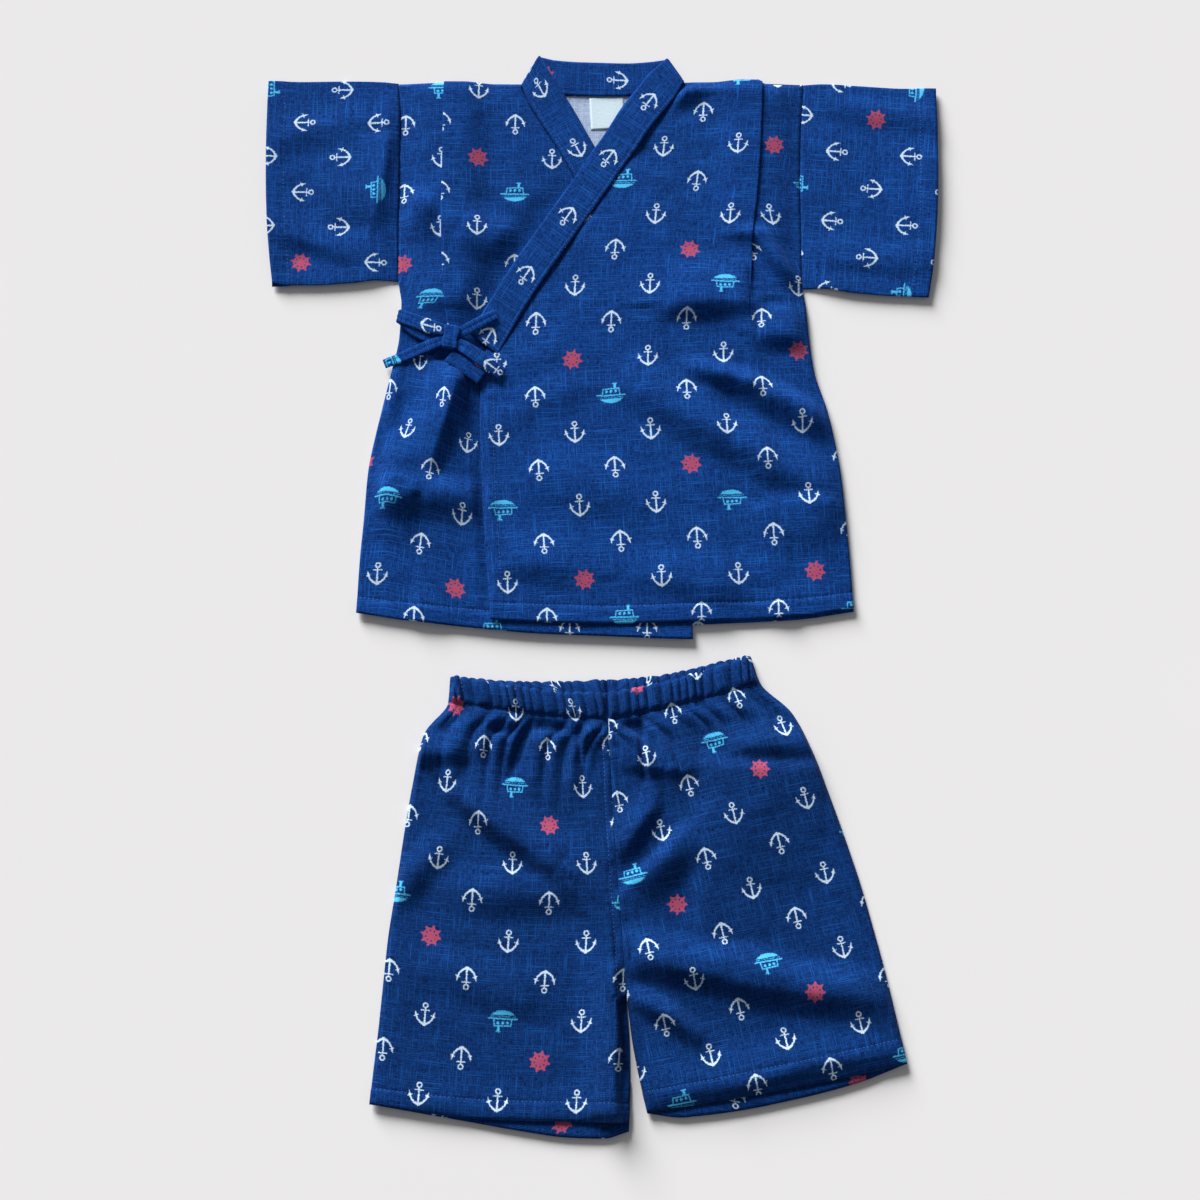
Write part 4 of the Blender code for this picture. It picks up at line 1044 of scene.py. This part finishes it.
def leg_section(leg, section, t, inset=0, below=0):
    """A leg's section: its middle, front layer, side fold and back layer, back to the middle.

    inset moves both layers inwards, and below is how far inside the waist edge the cloth has
    turned down.
    """
    spread = CASING_LIFT * smooth((t - LEG_TOP + 3) / 2)
    radius = (PITCH + spread) / 2 - inset
    low = LIFT_UNDER + inset
    high = low + 2 * radius
    casing = smooth((t - CASING_FROM) / CASING_EDGE)
    waist = abs(section.side_x - section.inner_x)
    hem = in_hem(ROW_STEP * t)
    lifted = EDGE_LIFT * smooth(1 - t / HEM_ROWS)
    row = []
    for across in steps(1, 0, FRONT_COLUMNS):
        x, up = leg_point(leg, section, across, "front", t)
        notch = CROTCH_NOTCH * smooth((across - 0.85) / 0.15) * smooth((t - 1) / 0.7)
        x -= notch * smooth((CROTCH - t) / 0.08) if leg.side == "right" else 0
        closed = max(smooth((1 - across) / 0.014), 0.9 * smooth((t - 2.6) / 0.5))
        rest = closed * smooth(across / 0.03 + 0.3)
        soft = relief(SHORTS_FOLDS, x, up) + crumple(x, up, 17) + LEG_LOFT
        ends = smooth((1 - across) / 0.035 + 0.1)
        height = soft * (1 - casing) * (1 - 0.5 * smooth((t - 8.4) / 0.6))
        height += gathers(across * waist, t, 1) * ends * (0.7 if inset > 0 else 1)
        height = height * rest * smooth(t / 0.35 + 0.35)
        height = max(height, -0.5 - 0.8 * spread)
        off = (t - 0.5) * ROW_STEP
        height += pucker(x, off, 12) * smooth(2 - t) + groove(off)
        off = (1 - across) * waist - SEAM_STITCH
        height += (pucker(up, off, 13) + groove(off)) * smooth((t - 2.4) / 0.4) * (1 - casing)
        height += lifted
        u, v = leg_print(leg, x, up, t)
        up += waist_bump(across * waist, t, 1)
        x += leg.toward * inset * (1 - across)
        row.append(Point(x, up, high + height, u, v + below, hem))
    for angle in steps(0, pi, 6)[1:-1]:
        x = section.side_x + leg.toward * (inset - radius * sin(angle))
        u, v = leg_print(leg, section.side_x, section.side, t)
        level = high - radius * (1 - cos(angle)) + lifted
        row.append(Point(x, section.side, level, u, v + below, hem))
    for across in shares(BACK_COLUMNS):
        x, up = leg_point(leg, section, across, "back", t)
        u, v = leg_print(leg, 2 * section.side_x - x, up, t)
        lift = max(gathers(across * waist, t, 6), 0) * 0.8 * smooth((t - 8.8) / 0.4)
        lift += 0.4 * inset
        lift *= smooth((1 - across) / 0.04)
        lift += lifted
        # Near the middle the back layer takes the hem's finish, navy on both faces, as painted
        # shade in the gap between the legs.
        inside = 1 if across > NAVY_SHADE_FROM else hem
        up += waist_bump(across * waist, t, 6)
        x += leg.toward * inset * (1 - across)
        row.append(Point(x, up, low + lift, u, v + below, inside))
    return row


def whole_leg(leg):
    """One leg of the shorts, from its hem up to the waist, and down again inside the casing."""
    stops = steps(0, 0.42, 5) + steps(0.44, 0.56, 5) + steps(0.6, CASING_FROM - 0.15, 100)
    stops += steps(CASING_FROM - 0.1, CASING_FROM + 0.1, 4) + steps(9.16, LEG_TOP, 11)
    rows = [leg_section(leg, leg_at(leg, t), t) for t in stops]
    waist = leg_at(leg, LEG_TOP)
    for angle in steps(0, pi, 4)[1:]:
        inset, rise = TURN * (1 - cos(angle)), TURN * sin(angle)
        turned = waist._replace(inner=waist.inner + rise, side=waist.side + rise)
        rows.append(leg_section(leg, turned, LEG_TOP, inset, -2 * TURN * angle / pi))
    for t in steps(LEG_TOP, LEG_TOP - 0.9, 9)[1:]:
        below = -40 * (LEG_TOP - t)
        rows.append(leg_section(leg, leg_at(leg, t), t, PITCH, below))
    return lay("leg_" + leg.side, rows, SHORTS_AT, SHORTS_FINISHES, turned=leg.toward > 0)


# ---------------------------------------------------------------- stitching
STITCH = 2.4                    # length of a stitch, and of one with the hole after it
STITCH_PITCH = 3.2
STITCH_WIDTH = 0.5              # of its thread
STITCH_LEVELS = (-0.12, 0, 0.22, 0, -0.12)  # its end, side, top, side and other end
MOST_RISE = 1.2                 # a stitch is left out where the cloth under it is steeper
ABOVE = 60                      # the cloth is looked for from this height
FACING_SEAM = 10.5              # from the over front's free edge to the stitching of its turning
TIE_CUT = 0.023                 # in metres: the ties' strips before they were folded
TIE_LENGTHS = (0.052, 0.032, 0.042, 0.031, 0.09)


def stitches(piece, lines, at):
    """Rows of stitches on a piece: each is one short lens of thread that lies in its cloth."""
    name = piece.name.replace("_cloth", "_stitches")
    ground = BVHTree.FromObject(piece, bpy.context.evaluated_depsgraph_get())
    points, faces = [], []
    for line in lines:
        places = [Vector(place) for place in line]
        lengths = [0]
        for a, b in zip(places, places[1:]):
            lengths.append(lengths[-1] + (b - a).length)

        def along(distance):
            index = max(i for i, length in enumerate(lengths[:-1]) if length <= distance)
            share = (distance - lengths[index]) / (lengths[index + 1] - lengths[index])
            return places[index].lerp(places[index + 1], share)

        for number in range(int(lengths[-1] / STITCH_PITCH)):
            start, end = (along(number * STITCH_PITCH + s) for s in (0, STITCH))
            across = (end - start).normalized()
            across = Vector((-across.y, across.x)) * STITCH_WIDTH / 2
            middle = (start + end) / 2
            hits = []
            for place in (start, middle - across, middle, middle + across, end):
                origin = (Vector((place.x, place.y, ABOVE)) + at) * MM
                hits.append(ground.ray_cast(origin, -UP)[0])
            if None in hits:
                continue
            levels = [hit.z for hit in hits]
            if max(levels) - min(levels) > MOST_RISE * MM:
                continue
            points += [hit + UP * level * MM for hit, level in zip(hits, STITCH_LEVELS)]
            a, left, top, right, b = range(len(points) - 5, len(points))
            faces += [(a, top, left), (a, right, top), (a, left, right)]
            faces += [(b, left, top), (b, top, right), (b, right, left)]
    mesh = bpy.data.meshes.new(name)
    mesh.from_pydata(points, [], faces)
    mesh.materials.append(THREAD)
    return finished(linked(name, mesh))


def front_line(side, places):
    """A line of stitches on a front, through (x, up) places before the hem's own shift."""
    return [(x, up + hem_shift(x, up, side)) for x, up in places]


def cuff_line(cuff, outward, low, high):
    """The line of stitches round a cuff's upper layer."""
    return [
        (cuff_at(cuff, across) - outward * HEM_DEPTH, low + (high - low) * across)
        for across in steps(0.01, 0.99, 30)
    ]


def band_line(table, share):
    """A line along a band at a share of its width from the seam edge."""
    return [
        (b.seam_x + (b.free_x - b.seam_x) * share, b.seam + (b.free - b.seam) * share)
        for b in drawn(table, 4)
    ]


def leg_line(leg, places):
    """A line of stitches on a leg's front, through (t, across) places."""
    return [leg_point(leg, leg_at(leg, t), across, "front", t) for t, across in places]


def middle_seam(leg):
    return leg_line(leg, [(t, 0.965) for t in steps(2.7, 8.9, 60)])


def leg_lines(leg):
    """The hem's and the casing's lines."""
    return [
        leg_line(leg, [(0.5, a) for a in steps(0.01, 0.99, 60)]),
        leg_line(leg, [(CASING_FROM, a) for a in steps(0.02, 0.98, 40)]),
    ]


# ---------------------------------------------------------------- materials
def linear(colour):
    """An sRGB hex colour as linear RGBA."""
    parts = [int(colour[i : i + 2], 16) / 255 for i in (1, 3, 5)]
    return [p / 12.92 if p <= 0.04045 else ((p + 0.055) / 1.055) ** 2.4 for p in parts] + [1]


def add(tree, kind, *inputs, out=0, **settings):
    """Adds a node of a kind, with its operation after a colon where it has one.

    Each input is a value, another node's output, or None to leave it as it is.
    """
    kind, _, operation = kind.partition(":")
    node = tree.nodes.new("ShaderNode" + kind)
    if operation:
        node.operation = operation
    for name, value in settings.items():
        setattr(node, name, value)
    for socket, value in zip(node.inputs, inputs):
        if isinstance(value, bpy.types.NodeSocket):
            tree.links.new(value, socket)
        elif value is not None:
            socket.default_value = value
    return node.outputs[out]


def finish(name, roughness, sheen=0, specular=0.5):
    """A new material and its tree and shader, with the values that are the same all over."""
    made = bpy.data.materials.new(name)
    made.use_nodes = True
    tree = made.node_tree
    shader = tree.nodes["Principled BSDF"]
    for socket, value in (
        ("Roughness", roughness), ("Metallic", 0), ("Specular IOR Level", specular),
        ("Sheen Weight", sheen), ("Sheen Roughness", 0.5),
    ):
        shader.inputs[socket].default_value = value
    return made, tree, shader


Stroke = namedtuple("Stroke", "x1 y1 x2 y2 r1 r2")
# Half of an anchor, which is mirrored about x = 0.
ANCHOR = rows_of(
    Stroke,
    (0, 4.8, 0, -7.2, 0.52, 0.75), (0, 3.1, 3.1, 3.1, 0.52, 0.4), (0, -7.8, 3, -6.3, 1.1, 0.8),
    (3, -6.3, 5.4, -4, 0.8, 0.65), (5.4, -4, 6.7, -1.2, 0.65, 0.6),
    (6.7, -1.3, 7.5, 2.1, 1.05, 0.15), (6.7, -1.2, 5, -0.6, 0.6, 0.2),
    (7, -1.3, 8.1, -1.9, 0.6, 0.25),
)
# Gunwale, strake, cabin, chimney and portholes of a boat.
BOAT = rows_of(
    Stroke,
    (-9.9, -0.8, 9.9, -1.2, 0.55, 0.5), (-8.4, -2.5, 8.4, -2.7, 0.15, 0.15),
    (-6.2, -0.4, -5.6, 3.7, 0.42, 0.42), (-5.6, 3.7, 5.8, 3.9, 0.45, 0.45),
    (5.8, 3.9, 6.4, -0.6, 0.42, 0.42), (2.9, 4.2, 2.9, 7.2, 0.95, 0.95),
    (1.6, 7.6, 4.2, 7.6, 0.45, 0.45), (-3.1, 1.6, -3.1, 1.8, 1, 1), (0.1, 1.7, 0.1, 1.9, 1, 1),
    (3.4, 1.8, 3.4, 2, 1, 1),
)

ANCHOR_RING = (6.7, 1.75, 0.55)  # place above the middle, radius and half its thickness
HULL_AT, HULL_HALF, DECK = (0.3, -2, 0), (8.6, 4.8), -3.5
BOAT_SCALE = 1.1
WHEEL_DISC = 6.2                # radius of the disc inside the handles
WHEEL_HOLE = ((3.8, 1.55, 0), 0.5)  # place and radius of a hole between two spokes
HANDLE = (Stroke(5, 0, 7.7, 0, 1.9, 0.65),)  # one of a wheel's eight
WHEEL_TURN = radians(13)        # the first handle's turn


def drawn_with(tree, place, strokes):
    """Distance in mm from a place to the edge of a figure made of tapering round strokes."""
    nearest = None
    for s in strokes:
        start, run = (s.x1, s.y1, 0), Vector((s.x2 - s.x1, s.y2 - s.y1, 0))
        off = add(tree, "VectorMath:SUBTRACT", place, start)
        unit = run / run.length_squared
        along = add(tree, "VectorMath:DOT_PRODUCT", off, unit, out=1)
        along = add(tree, "Math:ADD", along, 0, use_clamp=True)
        off = add(tree, "VectorMath:MULTIPLY_ADD", along, -run, off)
        away = add(tree, "VectorMath:LENGTH", off, out=1)
        reach = add(tree, "Math:MULTIPLY_ADD", along, s.r2 - s.r1, s.r1)
        away = add(tree, "Math:SUBTRACT", away, reach)
        if nearest:
            away = add(tree, "Math:MINIMUM", nearest, away)
        nearest = away
    return nearest


def slub_threads(tree, place, across, along, low, high):
    """Thicker threads here and there: streaks across mm wide and along mm long."""
    spread = add(tree, "VectorMath:MULTIPLY", place, (1 / across, 1 / along, 1))
    spun = add(tree, "TexNoise", spread, None, 1, 1, 0.5)
    return add(tree, "MapRange", spun, low, high, 0, 1)


def weave(tree, place):
    """Height of the slub cloth: its two thick threads, and one plain weave between them."""
    warp = slub_threads(tree, place, 0.5, 30, 0.6, 0.65)
    weft = slub_threads(tree, place, 38, 0.5, 0.58, 0.63)
    both = add(tree, "Math:MAXIMUM", warp, weft)
    # The plain weave has about 24 threads to the centimetre; it is drawn at 9 so that it shows.
    up = add(tree, "VectorMath:MULTIPLY", place, (1.7, 0.22, 1))
    over = add(tree, "VectorMath:MULTIPLY", place, (0.22, 1.7, 1))
    up = add(tree, "TexNoise", up, None, 1, 1, 0.5)
    over = add(tree, "TexNoise", over, None, 1, 1, 0.5)
    plain = add(tree, "Math:MAXIMUM", up, over)
    return both, plain


def cloth_finish(name, ground, slub, dark):
    """Plain-woven slub cotton: matt, with a faint nap, and lighter thick threads both ways."""
    made, tree, shader = finish(name, 0.92, sheen=0.02, specular=0.06)
    cut = add(tree, "UVMap", uv_map="cut")
    place = add(tree, "VectorMath:SCALE", cut, None, None, 1 / MM)
    both, plain = weave(tree, place)
    wash = add(tree, "TexNoise", place, None, 0.018, 3, 0.6)
    wash = add(tree, "MapRange", wash, 0.35, 0.65, 0, 0.6)
    colour = add(tree, "MixRGB", wash, linear(ground), linear(dark))
    grain = add(tree, "MapRange", plain, 0.42, 0.72, 0, 0.5)
    colour = add(tree, "MixRGB", grain, colour, linear(slub))
    thread = add(tree, "Math:MULTIPLY", both, 0.6)
    colour = add(tree, "MixRGB", thread, colour, linear(slub))
    height = add(tree, "Math:ADD", both, plain)
    bump = add(tree, "Bump", 0.35, 0.0004, None, height)
    return made, tree, shader, place, colour, bump


def connect(tree, shader, colour, bump):
    tree.links.new(colour, shader.inputs["Base Color"])
    tree.links.new(bump, shader.inputs["Normal"])


def printed_cotton(name, *shades):
    """Navy slub cotton, pigment printed with anchors, ship's wheels and steamboats.

    The figures stand on a square lattice of 60 mm with one more in the middle of each square. The
    pigment lies on the threads and misses their hollows, so it looks chalky.
    """
    made, tree, shader, place, colour, bump = cloth_finish(name, *shades)
    # here is the place from the middle of the nearest figure, and cell says which figure it is.
    half = PRINT_PITCH / 2
    here = add(tree, "VectorMath:WRAP", place, (half,) * 3, (-half,) * 3)
    away = add(tree, "VectorMath:ABSOLUTE", here)
    away = add(tree, "VectorMath:DOT_PRODUCT", away, (1, 1, 0), out=1)
    odd = add(tree, "Math:GREATER_THAN", away, half)
    side = add(tree, "VectorMath:SIGN", here)
    shift = add(tree, "Math:MULTIPLY", odd, -half)
    shift = add(tree, "VectorMath:SCALE", side, None, None, shift)
    here = add(tree, "VectorMath:ADD", here, shift)
    cell = add(tree, "VectorMath:SUBTRACT", place, here)
    cell = add(tree, "VectorMath:SCALE", cell, None, None, 1 / half)
    cell = add(tree, "VectorMath:WRAP", cell, (2.5, 2.5, 1), (-0.5, -0.5, 0))
    # One figure in nine is a wheel and one a steamboat; the rest are anchors.
    from_wheel = add(tree, "VectorMath:LENGTH", cell, out=1)
    wheel_here = add(tree, "Math:LESS_THAN", from_wheel, 0.5)
    from_boat = add(tree, "VectorMath:DISTANCE", cell, (1, 2, 0), out=1)
    boat_here = add(tree, "Math:LESS_THAN", from_boat, 0.5)
    # Every other row stands on its head, the steamboats the other way about.
    flip = add(tree, "Math:MULTIPLY_ADD", odd, -2, 1)
    turn = add(tree, "Math:MULTIPLY_ADD", boat_here, -2, 1)
    flip = add(tree, "Math:MULTIPLY", flip, turn)
    here = add(tree, "VectorMath:SCALE", here, None, None, flip)
    x = add(tree, "SeparateXYZ", here, out=0)
    y = add(tree, "SeparateXYZ", here, out=1)

    mirrored = add(tree, "Math:ABSOLUTE", x)
    mirrored = add(tree, "CombineXYZ", mirrored, y, 0)
    anchor = drawn_with(tree, mirrored, ANCHOR)
    ring = add(tree, "VectorMath:DISTANCE", here, (0, ANCHOR_RING[0], 0), out=1)
    ring = add(tree, "Math:SUBTRACT", ring, ANCHOR_RING[1])
    ring = add(tree, "Math:ABSOLUTE", ring)
    ring = add(tree, "Math:SUBTRACT", ring, ANCHOR_RING[2])
    anchor = add(tree, "Math:MINIMUM", anchor, ring)

    small = add(tree, "VectorMath:SCALE", here, None, None, 1 / BOAT_SCALE)
    boat = drawn_with(tree, small, BOAT)
    hull = add(tree, "VectorMath:SUBTRACT", small, HULL_AT)
    hull = add(tree, "VectorMath:MULTIPLY", hull, (1 / HULL_HALF[0], 1 / HULL_HALF[1], 1))
    hull = add(tree, "VectorMath:LENGTH", hull, out=1)
    hull = add(tree, "Math:MULTIPLY_ADD", hull, 5, -5)
    deck = add(tree, "Math:ADD", y, -DECK * BOAT_SCALE)
    hull = add(tree, "Math:MAXIMUM", hull, deck)
    boat = add(tree, "Math:MINIMUM", boat, hull)

    # The wheel is folded into half of one of its eight handles.
    far = add(tree, "VectorMath:LENGTH", here, out=1)
    angle = add(tree, "Math:ARCTAN2", y, x)
    angle = add(tree, "Math:ADD", angle, WHEEL_TURN)
    angle = add(tree, "Math:PINGPONG", angle, pi / 8)
    spoke_x = add(tree, "Math:COSINE", angle)
    spoke_y = add(tree, "Math:SINE", angle)
    spoke = add(tree, "CombineXYZ", spoke_x, spoke_y, 0)
    folded = add(tree, "VectorMath:SCALE", spoke, None, None, far)
    rim = add(tree, "Math:SUBTRACT", far, WHEEL_DISC)
    wheel = add(tree, "Math:MINIMUM", drawn_with(tree, folded, HANDLE), rim)
    hole = add(tree, "VectorMath:DISTANCE", folded, WHEEL_HOLE[0], out=1)
    hole = add(tree, "Math:MULTIPLY_ADD", hole, -1, WHEEL_HOLE[1])
    wheel = add(tree, "Math:MAXIMUM", wheel, hole)

    # The figures' edges are a little uneven, and the pigment thins out where it is worn.
    worn = add(tree, "TexNoise", place, None, 0.9, 2, 0.6)
    worn = add(tree, "Math:MULTIPLY_ADD", worn, 2.2, -0.98)
    neither = add(tree, "Math:ADD", wheel_here, boat_here)
    neither = add(tree, "Math:SUBTRACT", 1, neither)
    for figure, where, ink in (
        (anchor, neither, "#d2eaff"), (boat, boat_here, "#52c2f6"), (wheel, wheel_here, "#b2506c"),
    ):
        away = add(tree, "Math:ADD", figure, worn)
        mask = add(tree, "MapRange", away, 0.35, -0.3, 0, 0.95)
        mask = add(tree, "Math:MULTIPLY", mask, where)
        colour = add(tree, "MixRGB", mask, colour, linear(ink))
    connect(tree, shader, colour, bump)
    return made


def wrong_side():
    """The same cotton's wrong side: the navy shows through paler, with whitish slubs."""
    made, tree, shader, _, colour, bump = cloth_finish(
        "wrong side of navy slub cotton", "#90a6ca", "#dae8f8", "#7c90b6"
    )
    connect(tree, shader, colour, bump)
    return made


def sewing_thread():
    """Spun polyester sewing thread: round, slightly shiny, twisted, so it looks finely barred."""
    made, tree, shader = finish("spun polyester sewing thread", 0.6, specular=0.4)
    at = add(tree, "TexCoord", out=3)
    place = add(tree, "VectorMath:SCALE", at, None, None, 1 / MM)
    twist = add(tree, "TexNoise", place, None, 1.5, 2, 0.5)
    colour = add(tree, "MixRGB", twist, linear("#1f4a96"), linear("#5c8ccc"))
    bump = add(tree, "Bump", 0.3, 0.0002, None, twist)
    connect(tree, shader, colour, bump)
    return made


def label_tape():
    """Woven polyester label tape: smooth and white, with a fine rib across and a soft gloss."""
    made, tree, shader = finish("white woven label tape", 0.55, sheen=0.1, specular=0.5)
    cut = add(tree, "UVMap", uv_map="cut")
    place = add(tree, "VectorMath:SCALE", cut, None, None, 1 / MM)
    y = add(tree, "SeparateXYZ", place, out=1)
    # The tape's ribs lie 0.3 mm apart; they are drawn 1.2 mm apart so that they show.
    rib = add(tree, "Math:PINGPONG", y, 0.6)
    cloud = add(tree, "TexNoise", place, None, 0.35, 3, 0.6)
    height = add(tree, "Math:ADD", rib, cloud)
    colour = add(tree, "MixRGB", cloud, linear("#bfd6e4"), linear("#d6e8f2"))
    bump = add(tree, "Bump", 0.25, 0.0002, None, height)
    connect(tree, shader, colour, bump)
    return made


def paper():
    """Matt backdrop paper, faintly clouded."""
    made, tree, shader = finish("pale backdrop paper", 0.95, specular=0.1)
    at = add(tree, "TexCoord", out=3)
    cloud = add(tree, "TexNoise", at, None, 3, 3, 0.5)
    colour = add(tree, "MixRGB", cloud, linear("#eae8e8"), linear("#edebeb"))
    tree.links.new(colour, shader.inputs["Base Color"])
    return made


COTTON = printed_cotton("printed navy slub cotton", "#031e58", "#1c62c0", "#031642")
# The shorts take a darker copy of the same cotton: its darker colours are painted shade, for the
# shorts' deeper shading.
SHORTS_COTTON_SHADED = printed_cotton(
    "printed navy slub cotton of the shorts", "#02194b", "#1854a4", "#021238"
)
WRONG_SIDE = wrong_side()
THREAD = sewing_thread()
TAPE = label_tape()
CLOTH_FINISHES = [COTTON, COTTON, WRONG_SIDE]  # hems show the right side on both faces
SHORTS_FINISHES = [SHORTS_COTTON_SHADED, SHORTS_COTTON_SHADED, WRONG_SIDE]

# ---------------------------------------------------------------- the jacket
body_rows = steps(0, 11.6, 5) + steps(12.2, 15.8, 6) + rows_between(17.6, JACKET_LENGTH, CELL)
sleeve_shares = shares(44)
back = lay(
    "back", [back_row(up) for up in rows_between(0, JACKET_LENGTH, 4)], JACKET_AT,
    [WRONG_SIDE, COTTON, COTTON], hem_slot=1,
)
front_right, front_left = (
    lay(name, [front_row(up, over) for up in body_rows], JACKET_AT, CLOTH_FINISHES, turned=over)
    for name, over in (("front_right", False), ("front_left", True))
)
sleeve_right, sleeve_left = (
    lay(
        "sleeve_" + side, [sleeve_row(rows, side, cuff, out) for out in sleeve_shares], JACKET_AT,
        CLOTH_FINISHES, turned=side == "right", ring=True,
    )
    for side, rows, cuff in (
        ("right", RIGHT_SLEEVE, RIGHT_CUFF), ("left", LEFT_SLEEVE, LEFT_CUFF)
    )
)
collar_band = collar()
tie_pieces = ties()
tie_knot = knot()
neck_label = label()

# ---------------------------------------------------------------- the shorts
leg_right, leg_left = whole_leg(RIGHT_SHORTS), whole_leg(LEFT_SHORTS)

# ---------------------------------------------------------------- stitching and cuts
FRONT_HEM_RIGHT = [(x, HEM_DEPTH) for x in steps(-189, -84, 40)]
FRONT_HEM_LEFT = [(x, HEM_DEPTH) for x in steps(-87, 193, 90)]
FRONT_EDGE = [
    (read(FRONT_EDGES, "left", up) + FACING_SEAM, up) for up in steps(14, 224, 60)
]
sewn = [                        # each piece, its stitches' lines, and where they are measured from
    (front_right, [front_line("right", FRONT_HEM_RIGHT)], JACKET_AT),
    (front_left, [front_line("left", FRONT_HEM_LEFT), front_line("left", FRONT_EDGE)], JACKET_AT),
    (sleeve_right, [cuff_line(RIGHT_CUFF, -1, 281, 453)], JACKET_AT),
    (sleeve_left, [cuff_line(LEFT_CUFF, 1, 268.4, 446.4)], JACKET_AT),
    (collar_band, [band_line(COLLAR_RIGHT, 0.1), band_line(COLLAR_LEFT, 0.1)], JACKET_AT),
    (leg_right, leg_lines(RIGHT_SHORTS) + [middle_seam(RIGHT_SHORTS)], SHORTS_AT),
    (leg_left, leg_lines(LEFT_SHORTS), SHORTS_AT),
]
threads = [stitches(piece, lines, at) for piece, lines, at in sewn]

Cut = namedtuple("Cut", "piece width length area held rests_on with_pieces")
BOTH_FRONTS = ["front_right", "front_left"]
cuts = [                        # in metres; where area is None the cut is the whole rectangle
    Cut(back, 0.455, 0.47, 0.168, "laid", [], [neck_label]),
    Cut(front_right, 0.29, 0.465, 0.1, "laid", ["back"], [threads[0]]),
    Cut(front_left, 0.315, 0.465, 0.108, "laid", ["back", "front_right"], [threads[1]]),
    Cut(sleeve_right, 0.345, 0.11, None, "folded", [], [threads[2]]),
    Cut(sleeve_left, 0.345, 0.11, None, "folded", [], [threads[3]]),
    Cut(collar_band, 0.056, 0.76, None, "folded", BOTH_FRONTS, [threads[4]]),
]
cuts += [
    Cut(tie, TIE_CUT, length, None, "folded", ["front_left"], [])
    for tie, length in zip(tie_pieces, TIE_LENGTHS)
]
cuts += [
    Cut(leg, 0.4, 0.345, 0.118, "gathered", [], [thread])
    for leg, thread in zip((leg_right, leg_left), threads[5:])
]

# ---------------------------------------------------------------- floor, light and camera
bpy.ops.object.select_all(action="DESELECT")
bpy.ops.mesh.primitive_plane_add(size=8, location=(0, 0, -0.0001))
floor = bpy.context.active_object
floor.name = "floor"
floor.data.materials.append(paper())

SKY_POWER = 0.2
scene = bpy.context.scene
scene.view_settings.view_transform = "Standard"
world = bpy.data.worlds.new("soft studio fill")
world.use_nodes = True
sky = world.node_tree.nodes["Background"]
sky.inputs["Color"].default_value = (0.96, 0.98, 1, 1)
sky.inputs["Strength"].default_value = SKY_POWER
scene.world = world

KEY_FROM = Vector((-0.68, 1.35, 0.66))  # the key light comes from beyond the right shoulder
KEY_POWER = 6.3
key_data = bpy.data.lights.new("key", "SUN")
key_data.angle = radians(30)
key_data.energy = KEY_POWER
key = bpy.data.objects.new("key", key_data)
key.rotation_euler = KEY_FROM.to_track_quat("Z", "Y").to_euler()
scene.collection.objects.link(key)

TARGET = Vector((-0.0017, -0.0242, 0))
DISTANCE = 1.792
TILT = radians(12.5)
lens = bpy.data.cameras.new("camera")
lens.sensor_width = 36
lens.lens = 69
camera = bpy.data.objects.new("camera", lens)
camera.location = TARGET + Vector((0, -sin(TILT), cos(TILT))) * DISTANCE
camera.rotation_euler = (TILT, 0, 0)
scene.collection.objects.link(camera)
scene.camera = camera
